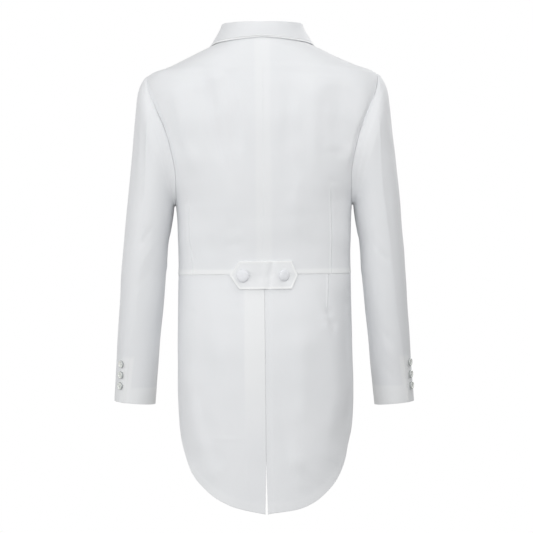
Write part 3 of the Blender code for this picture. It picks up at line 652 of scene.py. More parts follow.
TAIL_FOLDS = {1: (
    (((0.120, -0.450), (0.118, -0.560), (0.108, -0.680)), 17, -1.5),
    (((0.139, -0.500), (0.136, -0.524)), 6, -0.8),
    (((0.086, -0.520), (0.080, -0.640), (0.070, -0.760)), 18, 1.4),
    (((0.150, -0.600), (0.134, -0.710), (0.104, -0.800)), 16, 2.1),
    (((0.128, -0.640), (0.110, -0.740), (0.078, -0.830)), 13, -1.9),
    (((0.110, -0.746), (0.060, -0.747), (0.020, -0.745)), 3, 0.4),
    (((0.052, -0.455), (0.046, -0.520)), 9, -0.9),
    (((0.160, -0.740), (0.112, -0.836), (0.050, -0.872)), 30, -1.8),
), -1: (
    (((0.066, -0.520), (0.068, -0.620), (0.072, -0.730)), 19, 2.8),
    (((0.168, -0.730), (0.142, -0.800), (0.110, -0.842), (0.064, -0.872)), 34, -3.8),
    (((0.104, -0.560), (0.108, -0.650), (0.112, -0.750)), 22, -0.9),
    (((0.136, -0.470), (0.137, -0.560), (0.132, -0.680), (0.108, -0.790)), 12, 1.2),
    (((0.052, -0.760), (0.066, -0.830), (0.092, -0.850)), 12, 1.2),
    (((0.117, -0.500), (0.126, -0.525), (0.139, -0.550)), 6.5, -2.4),
    (((0.106, -0.508), (0.117, -0.537), (0.128, -0.562)), 8, 1.3),
    (((0.020, -0.640), (0.036, -0.740), (0.044, -0.850)), 12, -1.4),
)}
FRONT_FOLDS = {1: (
    (((0.150, -0.080), (0.130, -0.150), (0.118, -0.230)), 11, -2.3),
    (((0.172, -0.120), (0.165, -0.190), (0.158, -0.260)), 10, 1.8),
    (((0.150, -0.320), (0.110, -0.390), (0.070, -0.430)), 12, -2.0),
    (((0.146, -0.390), (0.100, -0.425)), 10, 1.3),
), -1: (
    (((0.146, -0.085), (0.126, -0.160), (0.112, -0.240)), 12, -2.2),
    (((0.170, -0.130), (0.166, -0.200), (0.160, -0.270)), 9, 1.9),
    (((0.150, -0.330), (0.106, -0.380), (0.072, -0.422)), 13, -1.8),
    (((0.144, -0.400), (0.104, -0.432)), 9, 1.3),
)}


FLANK_FADE = 0.3
NECK_CALM = (0.030, 0.065)
SMALL_OF_BACK_FILL = 0.0028
SMALL_OF_BACK_Z = -0.372
SMALL_OF_BACK_REACH = 0.045
SMALL_OF_BACK_FADE = 0.5


def body_drape(angle, z, side):
    """How far cloth on the body stands off its form at each place."""
    points = form(angle, z) * on_side(side)
    u, backward = np.abs(points[..., 0]), np.sin(np.radians(angle))
    behind = folds(u, z, BACK_FOLDS[side] + TAIL_FOLDS[side]) * ramp(backward, 0, FLANK_FADE)
    before = folds(u, z, FRONT_FOLDS[side]) * ramp(-backward, 0, FLANK_FADE)
    filled = ridge(z, SMALL_OF_BACK_FILL, SMALL_OF_BACK_Z, SMALL_OF_BACK_REACH)
    filled = filled * ramp(backward, 0, SMALL_OF_BACK_FADE)
    return (behind + before) * ramp(-z, *NECK_CALM) + filled + ripple(points)


print(sum(len(rows) for table in (BACK_FOLDS, TAIL_FOLDS, FRONT_FOLDS) for rows in table.values()),
      "folds on the body")

# %% [markdown]
# The back
#
# Each half of the back is one piece from the waist seam to the neck, with a dart that takes in the
# cloth at the waist. The two halves could be one piece, but a fitted coat needs the centre seam, and
# its turnings are pressed open underneath as a paler strip. The waist turnings are pressed upwards,
# so the back's lower edge stands up in a thin light line.

# %% Edges of the body panels
SIDE_ROWS = 5
ARMHOLE_ROWS = 12
PANEL_ROWS = 22
TIP_ROW = SIDE_ROWS + ARMHOLE_ROWS
PANEL_HEIGHT = 0.46
BACK_WIDTH = 0.20
SEAM_TURNING = 0.0145
SEAM_SOFTNESS = 0.004
WAIST_TURNING = 0.010
PRESSED_STEP = 0.00025
SEAM_CALM = 0.015
BACK_DARTS = {1: ((-0.440, 0.1333), (-0.291, 0.1426)), -1: ((-0.440, 0.1245), (-0.271, 0.1245))}


def outer_edge(row, facing):
    """Side seam, armhole and shoulder seam of a panel, as angles and heights from the waist up."""
    turn = 180 * (1 - np.clip(row - SIDE_ROWS, 0, ARMHOLE_ROWS) / ARMHOLE_ROWS)
    angle, z = armhole(facing * turn)
    low, high = row < SIDE_ROWS, row > TIP_ROW
    z = np.where(low, blend(WAIST_Z, ARMHOLE_BOTTOM_Z, row / SIDE_ROWS), z)
    rise = (row - TIP_ROW) / (PANEL_ROWS - TIP_ROW)
    z = np.where(high, blend(ARMHOLE_TIP_Z, NECK_POINT_Z, rise), z)
    return np.where(low | high, 0.0, angle), z


def panel_normals(angle, z, row, facing):
    """A panel's outward directions, shared with the sleeve along the armhole."""
    normals = form_normal(angle, z)
    inside = (row >= SIDE_ROWS) & (row <= TIP_ROW)
    turn = facing * 180 * (1 - (row[inside] - SIDE_ROWS) / ARMHOLE_ROWS)
    normals[inside, 0] = unit(form_normal(*armhole(turn)) + sleeve_normal(turn, 0.0))
    return normals


def pressed(distance, width, softness=0.0018):
    """1 over a turning that is pressed flat behind the cloth, and 0 beyond it."""
    return 1 - ramp(distance, width - softness, width + softness)


def dart_share(outer_angle, outer_z, inner_z, ends):
    """Where a dart crosses each row of a back panel, as a share of the row."""
    (low_z, low_x), (top_z, top_x) = ends
    share = np.full(len(outer_z), 0.3)
    for _ in range(8):
        z = blend(outer_z, inner_z, share)
        x = blend(low_x, top_x, np.clip((z - low_z) / (top_z - low_z), 0, 1))
        share = np.clip((angle_at_x(x, z, 1) - outer_angle) / (90 - outer_angle), 0.12, 0.9)
    below = z <= top_z
    return np.where(below, share, share[below][-1]), top_z


def dart_relief(points, column, z, top_z, depth=1.0):
    """A sewn dart: a raised welt with a shallow groove beside it, dying out at its point."""
    run = run_lengths(points, 1)
    off = (run - run[:, column:column + 1]) * 1000
    welt = ridge(off, 0.75, 0, 1.4) + ridge(off, -0.6, -2.5, 1.2)
    return welt * depth / 1000 * ramp(top_z - z, 0.0, 0.022)


def up_panel():
    """Shares of the way up a body panel, close together at the waist, armhole and shoulder."""
    return stations(PANEL_HEIGHT, (0, SIDE_ROWS / PANEL_ROWS, TIP_ROW / PANEL_ROWS, 1))[0][0]


def panel_drape(angle, z, side, flat, near):
    """Drape of a body panel, calm beside its side seam and armhole."""
    shared = ripple(flat * on_side(side))
    return (body_drape(angle, z, side) - shared) * ramp(near["left"], 0.0, SEAM_CALM) + shared


# %% Both halves of the back
dressed = {}
for side, hand in SIDES:
    up = up_panel()
    row = up * PANEL_ROWS
    outer_angle, outer_z = outer_edge(row, 1)
    inner_z = blend(WAIST_Z, NAPE_Z, up)
    dart, dart_top = dart_share(outer_angle, outer_z, inner_z, BACK_DARTS[side])
    across, marks = stations(BACK_WIDTH, (0 * dart, dart, 0 * dart + 1))
    angle = blend(outer_angle[:, None], 90.0, across)
    z = blend(outer_z[:, None], inner_z[:, None], across)
    flat = form(angle, z)
    near = edge_distances(flat)
    centre = pressed(near["right"], SEAM_TURNING, SEAM_SOFTNESS)
    waist = pressed(near["bottom"], WAIST_TURNING)
    lift = panel_drape(angle, z, side, flat, near) + dart_relief(flat, marks[1], z, dart_top)
    lift = lift + PRESSED_STEP * waist + ridge(near["bottom"], 0.0004, 0.003, 0.002)
    normals = panel_normals(angle, z, row, 1)
    doubled = np.maximum(0.27 * centre, 0.6 * waist)
    dressed["back_" + hand] = shell("cloth_back_" + hand, flat + normals * lift[..., None], normals,
                                    side, doubled, flat=("right",))

# %% [markdown]
# The fronts
#
# Each forepart runs from the side seam to the line where the lapel folds back, and is cut away
# below the waist to a point. It could be made with its lapel as one sheet, but the fold line is
# easier to keep crisp when the two are made apart and the lapel is rolled round the front's edge.

# %% Both fronts
ROLL_LINE = Table("z x", (
    (-0.485, 0.062), (-0.440, 0.052), (-0.400, 0.048),
    (-0.300, 0.052), (-0.200, 0.057), (-0.100, 0.063), (-0.045, 0.066),
))
STRAIGHT_WAIST = 3 / 7
FRONT_WIDTH = 0.17


def neck_edge(across):
    """Angle and height of the front's neck edge, from the neck point to the gorge."""
    roll_x = ROLL_LINE.read("x", GORGE_Z)
    angle = blend(0.0, angle_at_x(roll_x, GORGE_Z, -1), across)
    return angle, height_at_x(blend(form(0.0, NECK_POINT_Z)[0], roll_x, across), angle)


for side, hand in SIDES:
    row = up_panel() * PANEL_ROWS
    outer_angle, outer_z = outer_edge(row, -1)
    inner_z = np.interp(row, (0, TIP_ROW, PANEL_ROWS), (FRONT_POINT_Z, ROLL_BY_SHOULDER_Z, GORGE_Z))
    inner_angle = angle_at_x(ROLL_LINE.read("x", inner_z), inner_z, -1)
    across, _ = stations(FRONT_WIDTH, (0, STRAIGHT_WAIST, 1))
    angle = blend(outer_angle[:, None], inner_angle[:, None], across)
    z = blend(outer_z[:, None], inner_z[:, None], across)
    falling = np.clip((across[0] - STRAIGHT_WAIST) / (1 - STRAIGHT_WAIST), 0, 1)
    waist_edge = blend(WAIST_Z, FRONT_POINT_Z, falling)
    z = z + (waist_edge - z[0]) * np.clip(1 - row / SIDE_ROWS, 0, 1)[:, None]
    z = z + (neck_edge(across[0])[1] - z[-1]) * np.clip(1 - (PANEL_ROWS - row) / SIDE_ROWS, 0, 1)[:, None]
    flat = form(angle, z)
    near = edge_distances(flat)
    waist = pressed(near["bottom"], WAIST_TURNING)
    lift = panel_drape(angle, z, side, flat, near)
    normals = panel_normals(angle, z, row, -1)
    dressed["front_" + hand] = shell(
        "cloth_front_" + hand, flat + normals * (lift + PRESSED_STEP * waist)[..., None], normals,
        side, 0.6 * waist)

# %% [markdown]
# The tails
#
# The tails hang from the waist seam and are cut in one long curve from the hip to the centre vent.
# The left one laps over the right along the centre, where its turned-in facing makes a broad band of
# double cloth. Below the vent's top the two stand a little apart.

# %% Both tails
HEM = Table("angle z", (
    (-24.0, -0.455), (-18.0, -0.505), (-12.0, -0.550), (-6.0, -0.590),
    (0.0, -0.628), (4.0, -0.654), (8.6, -0.688), (12.8, -0.732),
    (16.9, -0.762), (21.9, -0.791), (28.8, -0.820), (39.0, -0.847),
    (47.0, -0.862), (62.0, -0.877), (90.0, -0.888),
))
TAIL_FRONT_ANGLE = -24.0
RIGHT_HEM_DROP = 0.0040
LEFT_HEM_LIFT = 0.0018
VENT_TOP_Z = -0.787
VENT_HEM_GAP = 0.0024
VENT_EASE = 0.015
FACING_WIDTH = 0.0385
HEM_TURNING = 0.018
HIP_DART = (0.1189, -0.509)
HIP_DART_DEPTH = 1.5
TAIL_LENGTH = 0.42
TAIL_WIDTH = 0.27
RIGHT_TAIL_SWING = ((((0.182, -0.400), (0.184, -0.500), (0.184, -0.660), (0.180, -0.820)), 52, -8.0),)


def tail_hem(angles, side):
    """Height of a tail's lower edge; the right tail hangs lower on the hip than the left."""
    share = np.sin(np.pi * np.clip(angles / 90, 0, 1)) ** 2
    return HEM.read("z", angles) + (LEFT_HEM_LIFT if side > 0 else -RIGHT_HEM_DROP) * share


for side, hand in SIDES:
    share, _ = stations(TAIL_LENGTH, (0, 1))
    down = 1 - share[0]
    dart_angle = np.full(len(down), 34.0)
    for _ in range(6):
        z = blend(WAIST_Z, tail_hem(dart_angle, side), down)
        dart_angle = angle_at_x(HIP_DART[0], np.maximum(z, HIP_DART[1] - 0.03), 1)
    dart = (dart_angle - TAIL_FRONT_ANGLE) / (90 - TAIL_FRONT_ANGLE)
    across, marks = stations(TAIL_WIDTH, (0 * dart, dart, 0 * dart + 1))
    angle = blend(TAIL_FRONT_ANGLE, 90.0, across)
    z = blend(WAIST_Z, tail_hem(angle, side), down[:, None])
    flat = form(angle, z)
    open_share = np.clip((VENT_TOP_Z - z) / (VENT_TOP_Z - HEM.read("z", 90.0)), 0, 1)
    flat[..., 0] += VENT_HEM_GAP * open_share * np.exp(-flat[..., 0] / VENT_EASE)
    near = edge_distances(flat)
    facing = pressed(near["right"], FACING_WIDTH, 0.0025)
    hem = pressed(near["bottom"], HEM_TURNING)
    lift = body_drape(angle, z, side)
    if side == 1:
        lift = lift + 0.00035 * facing + 0.0002 * hem
        doubled = np.maximum(0.5 * facing * ramp(z, -0.78, -0.60), 0.15 * hem)
    else:
        lift = lift - 0.0007 * pressed(near["right"], 0.010) + 0.0002 * hem
        swing = folds(flat[..., 0], z, RIGHT_TAIL_SWING) * ramp(np.sin(np.radians(angle)), 0.0, FLANK_FADE)
        lift = lift + swing * ramp(near["bottom"], -0.020, 0.090) * ramp(-z, 0.440, 0.505)
        lift = lift + dart_relief(flat, marks[1], -z, -HIP_DART[1] + 0.001, HIP_DART_DEPTH)
        doubled = 0.15 * hem
    normals = form_normal(angle, z)
    dressed["tail_" + hand] = shell("cloth_tail_" + hand, flat + normals * lift[..., None], normals,
                                    side, doubled)

# %% [markdown]
# The sleeves
#
# An evening sleeve is cut in two pieces: a wide topsleeve over the outside of the arm and a narrow
# undersleeve below it. The hind seam between them is pressed to a soft ridge that runs down the back
# of the arm. The head is eased into the armhole, so it swells just beyond the seam. The cuff is
# turned up, and the topsleeve laps over the undersleeve beside the buttons.

# %% Folds of the sleeves: paths as (turn round the arm in degrees, height)
DEGREE = 0.00108
CUFF_HEM_Z = -0.656
CUFF_VENT_TOP_Z = -0.594
SLEEVE_FOLDS = {1: (
    (((20, -0.110), (34, -0.180), (40, -0.260)), 8, -0.9),
    (((44, -0.120), (52, -0.200), (56, -0.270)), 7, 0.7),
    (((112, -0.340), (96, -0.362), (74, -0.392)), 6, -1.1),
    (((120, -0.372), (100, -0.398), (82, -0.430)), 6, 0.9),
    (((116, -0.420), (98, -0.446), (70, -0.470)), 7, -0.9),
    (((-60, -0.360), (-84, -0.392), (-110, -0.402)), 6, -2.2),
    (((-52, -0.392), (-80, -0.424), (-112, -0.436)), 6, 1.6),
    (((-56, -0.424), (-86, -0.452), (-112, -0.460)), 6, -1.9),
    (((-10, -0.300), (6, -0.420), (2, -0.540)), 10, -0.9),
    (((30, -0.480), (22, -0.560), (26, -0.620)), 8, -0.6),
    (((180, -0.360), (205, -0.392), (228, -0.400)), 7, -1.8),
    (((182, -0.410), (204, -0.438), (226, -0.452)), 7, 1.2),
    (((150, -0.470), (158, -0.560), (150, -0.640)), 9, -0.9),
), -1: (
    (((40, -0.112), (30, -0.142), (16, -0.165)), 6, -0.9),
    (((46, -0.140), (36, -0.172), (20, -0.196)), 6, 0.8),
    (((50, -0.172), (40, -0.202), (24, -0.226)), 6, -0.9),
    (((54, -0.210), (44, -0.236), (30, -0.256)), 6, 0.6),
    (((60, -0.250), (64, -0.330), (62, -0.400)), 8, -0.7),
    (((118, -0.380), (98, -0.404), (74, -0.420)), 6, -1.2),
    (((122, -0.545), (104, -0.556), (80, -0.584)), 6, -1.1),
    (((118, -0.574), (98, -0.590), (76, -0.616)), 6, 0.8),
    (((124, -0.610), (106, -0.626), (88, -0.640)), 6, -0.7),
    (((-60, -0.365), (-84, -0.396), (-110, -0.408)), 6, -2.1),
    (((-52, -0.398), (-80, -0.428), (-112, -0.440)), 6, 1.5),
    (((-56, -0.430), (-86, -0.458), (-112, -0.466)), 6, -1.8),
    (((-12, -0.310), (4, -0.430), (0, -0.550)), 10, -0.8),
    (((178, -0.365), (203, -0.398), (228, -0.408)), 7, -1.7),
    (((182, -0.418), (204, -0.444), (226, -0.458)), 7, 1.1),
    (((150, -0.480), (160, -0.560), (150, -0.640)), 9, -0.8),
)}


def cuff_fullness(turn, ring, side):
    """How much fuller the left sleeve is on the outside of the forearm."""
    outside = 0.5 + 0.5 * np.cos(np.radians(turn))
    return (LEFT_CUFF_FULLNESS if side > 0 else 0.0) * outside * ramp(ring, *HANG_RINGS)


def sleeve_drape(turn, ring, side):
    """How far cloth on the sleeve stands off its form, apart from its seams."""
    points = sleeve(turn, ring) + cuff_hang(ring, side)
    rows = [([(t * DEGREE, z) for t, z in path], width, depth)
            for path, width, depth in SLEEVE_FOLDS[side]]
    return folds(turn * DEGREE, points[..., 2], rows), ripple(points * on_side(side))


# %% Both pieces of both sleeves
SLEEVE_LENGTH = 0.62
SLEEVE_HEAD_SHARE = 0.045
SLEEVE_PIECES = (
    ("topsleeve", 0.22, 0.019, 0.0002, ("front_seam", -1, 0), ("hind_seam", 1, 0)),
    ("undersleeve", 0.17, 0.008, -0.0002, ("hind_seam", 1, 0), ("front_seam", -1, 360)),
)
for side, hand in SIDES:
    for kind, width, lap_width, lap_lift, first, last in SLEEVE_PIECES:
        share, _ = stations(SLEEVE_LENGTH, (0, SLEEVE_HEAD_SHARE, 1))
        ring = LAST_RING * (1 - share[0])
        twist = forearm_twist(ring, side)
        edges = [sign * SLEEVE.read(name, ring) + whole + twist for name, sign, whole in (first, last)]
        across, _ = stations(width, (0, 1))
        turn = blend(edges[0][:, None], edges[1][:, None], across)
        rings = np.broadcast_to(ring[:, None], turn.shape)
        flat = sleeve(turn, rings) + cuff_hang(rings, side)
        normals = sleeve_normal(turn, rings)
        normals[-1] = unit(form_normal(*armhole(turn[-1])) + sleeve_normal(turn[-1], 0.0))
        near = edge_distances(flat)
        hind, fore = (near["right"], near["left"]) if kind == "topsleeve" else (near["left"], near["right"])
        hand_folds, unevenness = sleeve_drape(turn, rings, side)
        lift = unevenness + hand_folds * ramp(near["top"], 0, 0.020) * ramp(fore, 0, 0.018)
        lift = lift + cuff_fullness(turn, rings, side)
        over_arm = ramp(np.cos(np.radians(turn)), -0.5, 0.3)
        puckers = 1 + 0.16 * np.sin(np.radians(turn) * 34.0) + 0.1 * np.sin(np.radians(turn) * 53.0 + 1)
        lift = lift + ridge(near["top"], 0.0014, 0.007, 0.006) * over_arm * puckers
        lift = lift + ridge(hind, 0.0009, 0, 0.0065) * ramp(near["top"], 0.01, 0.06)
        height = flat[..., 2]
        cuff = 1 - ramp(height, CUFF_HEM_Z - 0.0008, CUFF_HEM_Z + 0.0008)
        lift = lift + 0.0002 * cuff
        in_vent = 1 - ramp(height, CUFF_VENT_TOP_Z - 0.006, CUFF_VENT_TOP_Z)
        lap = pressed(hind, lap_width) * in_vent
        lift = lift + lap * lap_lift
        doubled = np.maximum(0.4 * cuff, 0.5 * lap)
        dressed[f"{kind}_{hand}"] = shell(f"cloth_{kind}_{hand}", flat + normals * lift[..., None],
                                          normals, side, doubled, flat=("left", "right"))

# %% [markdown]
# The lapels
#
# A peaked lapel is the top of the forepart turned back on itself, with its point aimed at the
# shoulder. The cloth is soft, so it turns in a roll and not in a knife fold. Each lapel here starts
# on the hidden side of the front, goes round the front's edge in a half round and lies on the chest.

# %% Both lapels
WALL = 0.0020
LAYER_GAP = 0.0009
LAPEL_BREAK_WIDTH = 0.007
LAPEL_NOTCH = (0.112, -0.076)
LAPEL_NOTCH_SHARE = 0.5
LAPEL_PEAK_LIFT = 0.0018
LAPEL_PEAK = (0.160, -0.050)
LAPEL_BELLY = 0.015
NOTCH_FADE = 5 / 16
LAPEL_LENGTH = 0.36
LAPEL_WIDTH = 0.075
FINE_PITCH = 0.003
HIDDEN_STRIP = 0.012
HIDDEN_STEPS = np.array([1.0, 0.9, 0.5, 0.1])
ROLL_RADIUS = WALL / 2 + LAYER_GAP + CLOTH
ROLL_STEPS = 9

for side, hand in SIDES:
    up = stations(LAPEL_LENGTH, (0, 1))[0][0]
    inner_z = blend(BREAK_Z, GORGE_Z, up)
    inner_x = ROLL_LINE.read("x", inner_z)
    outer_x = blend(inner_x[0] + LAPEL_BREAK_WIDTH, LAPEL_PEAK[0], up) + LAPEL_BELLY * np.sin(np.pi * up)
    outer_z = blend(BREAK_Z, LAPEL_PEAK[1], up)
    inner_angle = angle_at_x(inner_x, inner_z, -1)
    outer_angle = angle_at_x(outer_x, outer_z, -1)
    stops = (0, LAPEL_NOTCH_SHARE, 1)
    across = stations(LAPEL_WIDTH, stops, FINE_PITCH)[0][0]
    angle = blend(inner_angle[:, None], outer_angle[:, None], across)
    z = blend(inner_z[:, None], outer_z[:, None], across)
    notch_angle = angle_at_x(*LAPEL_NOTCH, -1)
    gorge_angle = np.interp(across, stops, (inner_angle[-1], notch_angle, outer_angle[-1]))
    gorge_z = np.interp(across, stops, (inner_z[-1], LAPEL_NOTCH[1], outer_z[-1]))
    fade = np.clip(1 - (1 - up) / NOTCH_FADE, 0, 1)[:, None]
    angle = angle + (gorge_angle - angle[-1]) * fade
    z = z + (gorge_z - z[-1]) * fade
    normals = form_normal(angle, z)
    drape = body_drape(angle, z, side)
    lift = LAYER_GAP + LAPEL_PEAK_LIFT * across * up[:, None] ** 2 + CLOTH + drape
    lying = form(angle, z) + lift[..., None] * normals
    way = normals[:, :1]
    inward = unit(lying[:, 1:2] - lying[:, :1])
    middle = form(angle[:, :1], z[:, :1]) + (drape[:, :1, None] - WALL / 2) * way
    swing = np.radians(np.linspace(0, 180, ROLL_STEPS + 1))[:-1][None, :, None]
    round_way = -np.cos(swing) * way - np.sin(swing) * inward
    hidden = middle - ROLL_RADIUS * way + HIDDEN_STEPS[None, :, None] * HIDDEN_STRIP * inward
    points = np.concatenate([hidden, middle + ROLL_RADIUS * round_way, lying], axis=1)
    normals = np.concatenate([np.broadcast_to(-way, hidden.shape), round_way, normals], axis=1)
    dressed["lapel_" + hand] = shell("cloth_lapel_" + hand, points, normals, side, inside=suiting)

# %% [markdown]
# The collar
#
# The collar is a standing strip that rolls over at the top and falls as a leaf on the coat's back
# and shoulders. Its roll line is flat across the nape and drops to the lapels in front. It is built
# as sections round the neck: up the stand, over a small half round and down to the leaf's edge.

# %% The collar in one piece
SEAM_GAP = 0.0003
COLLAR_RADIUS = 0.0032
LEAF_LIFT = 0.0038
LEAF_EDGE_LIFT = 0.0022
LEAF_LINE = 0.0055
LEAF_WIDTH = 0.030
HALF_COLLAR = 0.30
COLLAR = Table("place rise edge_angle edge_z", (
    (0.00, 0.0225, 90.0, 0.0065),
    (0.50, 0.0250, 45.0, 0.0010),
    (1.00, 0.0290, 0.0, -0.0038),
    (1.40, 0.0240, -18.0, -0.0150),
    (1.70, 0.0130, -30.0, -0.0380),
    (2.00, 0.0035, -41.0, -0.0760),
))
STAND_STEPS = 6
ARC_STEPS = 10


def collar_section(place, angle, z, edge_angle, edge_z, base, along):
    """The collar's seen side and its facing at one place: stand, roll and leaf."""
    flat_share = np.clip(place - 1, 0, 1) ** 1.5
    up = unit(blend(np.array([0.0, 0.0, 1.0]), form_normal(angle, z), flat_share))
    out = unit(np.cross(up, along))
    up = unit(np.cross(along, out))
    rise = COLLAR.read("rise", place)
    foot = base - out * (COLLAR_RADIUS - WALL / 2) + up * SEAM_GAP
    radius = min(COLLAR_RADIUS, rise)
    middle = foot + out * COLLAR_RADIUS + up * (rise - radius)
    stand = foot + np.linspace(0, 1, STAND_STEPS)[:-1, None] * up * (rise - radius)
    swing = np.radians(np.linspace(180, 0, ARC_STEPS + 1))[:, None]
    arc_way = np.cos(swing) * out + np.sin(swing) * up
    arc = middle + COLLAR_RADIUS * arc_way
    steps = stations(LEAF_WIDTH, (0, 1 - LEAF_LINE / LEAF_WIDTH, 1), FINE_PITCH)[0][0]
    leaf_angle = blend(angle, edge_angle, steps)
    leaf_z = blend(z, edge_z, steps)
    ways = form_normal(leaf_angle, leaf_z)
    lying = form(leaf_angle, leaf_z) + blend(LEAF_LIFT, LEAF_EDGE_LIFT, steps)[:, None] * ways
    drop = (1 - steps)[:, None]
    leaf = lying + (arc[-1] - lying[0]) * drop
    leaf_ways = unit(blend(ways, out, drop))
    points = np.concatenate([stand, arc, leaf[1:]])
    facings = np.concatenate([np.broadcast_to(-out, stand.shape), arc_way, leaf_ways[1:]])
    return points, facings


place = stations(HALF_COLLAR, (0, 0.5, 1))[0][0] * 2
behind = np.clip(place, 0, 1)
angle, z = 90 * (1 - behind), blend(NAPE_Z, NECK_POINT_Z, behind)
front_angle, front_z = neck_edge(np.clip(place - 1, 0, 1))
angle, z = np.where(place > 1, front_angle, angle), np.where(place > 1, front_z, z)
base = form(angle, z)
along = np.gradient(base, axis=0)
along[0] = np.array([1.0, 0.0, 0.0])
leaf_angle, leaf_z = COLLAR.read("edge_angle", place), COLLAR.read("edge_z", place)
leaf_angle[-1], leaf_z[-1] = angle_at_x(*LAPEL_NOTCH, -1), LAPEL_NOTCH[1]
sections = [collar_section(*row) for row in zip(place, angle, z, leaf_angle, leaf_z, base, unit(along))]
points, facings = np.array(sections).transpose(1, 0, 2, 3)
points[0, :, 0] = 0.0
facings[0, :, 0] = 0.0
points = np.concatenate([points[:0:-1] * on_side(-1), points])
facings = unit(np.concatenate([facings[:0:-1] * on_side(-1), facings]))
from_edge = edge_distances(points)["right"]
on_leaf = 1 - ramp(from_edge, 0.022, 0.028)
lift = ripple(points) + ridge(from_edge, -0.00035, LEAF_LINE, 0.0008)
lift = lift + 0.0002 * pressed(from_edge, LEAF_LINE) * on_leaf
dressed["collar"] = shell("cloth_collar", points + facings * lift[..., None], facings, 1,
                          0.5 * pressed(from_edge, LEAF_LINE), inside=suiting)

# %% [markdown]
# The waist tab
#
# A pointed tab lies over the crossing of the centre and waist seams and carries the two waist
# buttons. It is two layers bagged out and pressed, edge stitched a few millimetres in, which leaves
# a paler flat border. Over the centre seam it sinks in a soft upright dent.

# %% The tab
TAB_CENTRE_Z = -0.4415
TAB_HALF_HEIGHT = 0.0265
TAB_CORNERS_X = (-0.051, 0.047)
TAB_TIPS_X = (-0.062, 0.065)
TAB_WALL = 0.0024
TAB_BUTTONS_X = {"left": 0.0400, "right": -0.0350}
TAB_BUTTON_Z = -0.4425
TAB_BORDER = 0.0037
TAB_PITCH = 0.0016
TAB_TIP = 0.0003
TAB_FOLDS = (
    (((-0.0185, -0.398), (-0.0125, -0.436), (-0.0050, -0.484)), 4.5, -2.2),
    (((-0.0060, -0.398), (0.0005, -0.440), (0.0080, -0.484)), 6, 1.0),
)


def tab_surface(x, z):
    """Points and directions on the tab's seen side, x from the middle and at height z."""
    angle = angle_at_x(x, z, 1)
    normals = form_normal(angle, z)
    near_angle = np.where(angle > 90, 180 - angle, angle)
    drape = np.where(x > 0, body_drape(near_angle, z, 1), body_drape(near_angle, z, -1))
    rest = ramp(np.abs(x), 0.0, 0.012)
    drape = drape * rest + ripple(form(angle, z)) * (1 - rest)
    return form(angle, z) + (drape + LAYER_GAP + TAB_WALL)[..., None] * normals, normals


tab_stops = np.array([TAB_TIPS_X[0], *TAB_CORNERS_X, TAB_TIPS_X[1]])
tab_length = tab_stops[-1] - tab_stops[0]
share_x = stations(tab_length, (tab_stops - tab_stops[0]) / tab_length, TAB_PITCH)[0][0]
share_z = stations(2 * TAB_HALF_HEIGHT, (0, 0.5, 1), TAB_PITCH)[0][0]
x = blend(tab_stops[0], tab_stops[-1], share_x)[None, :]
reach = np.interp(x, tab_stops, (TAB_TIP, TAB_HALF_HEIGHT, TAB_HALF_HEIGHT, TAB_TIP))
rise = reach * blend(-1, 1, share_z)[:, None]
x = np.broadcast_to(x, rise.shape)
z = TAB_CENTRE_Z + rise
points, normals = tab_surface(x, z)
to_edge = TAB_HALF_HEIGHT - np.abs(rise)
for tip, corner in ((TAB_TIPS_X[0], TAB_CORNERS_X[0]), (TAB_TIPS_X[1], TAB_CORNERS_X[1])):
    run = abs(tip - corner)
    to_slant = (np.abs(tip - x) * TAB_HALF_HEIGHT - np.abs(rise) * run) / math.hypot(run, TAB_HALF_HEIGHT)
    to_edge = np.minimum(to_edge, to_slant)
border = pressed(to_edge, TAB_BORDER)
lift = 0.0003 * border + ridge(to_edge, -0.0004, TAB_BORDER, 0.0007)
lift = lift + folds(x, z, TAB_FOLDS)
for centre in TAB_BUTTONS_X.values():
    lift = lift + ridge(np.hypot(x - centre, rise), -0.0006, 0, 0.014)
dressed["back_tab"] = shell("cloth_back_tab", points + normals * lift[..., None], normals, 1,
                            0.25 + 0.75 * border, cloth=TAB_WALL, inside=suiting)

# %% [markdown]
# Buttons
#
# A button is turned on a lathe, so its half section is spun round its own axis. The waist buttons are
# domed moulds with cloth drawn over them; the cloth pleats a little where it is gathered under the
# rim. The cuff buttons are pearl discs with a raised rim, a dished face and four holes, sewn on with
# two bars of silk.

# %% Turning a button
TAB_BUTTON_DIAMETER = 0.022
TAB_BUTTON_HEIGHT = 0.0062
TAB_BUTTON_LIFT = 0.0010
TAB_BUTTON_LEANS = {"left": 0.06, "right": -0.36}
TAB_BUTTON_SIZES = {"left": 1.10, "right": 0.94}
CUFF_BUTTON_HEIGHTS = {"left": (-0.6092, -0.6300, -0.6512), "right": (-0.6106, -0.6336, -0.6557)}
CUFF_BUTTON_DIAMETER = 0.0148
CUFF_BUTTON_HEIGHT = 0.0042
CUFF_BUTTON_ANGLE = 47.0
CUFF_BUTTON_STAND = 0.0006
LEAN_LIFT = 0.004
HOLE_SPREAD = 0.0016
HOLE_RADIUS = 0.0008


def button_ways(way):
    """Two directions across a button, the first level and the second up its face."""
    side_way = unit(np.cross(way, np.array([0.0, 0.0, 1.0])))
    return side_way, np.cross(side_way, way)


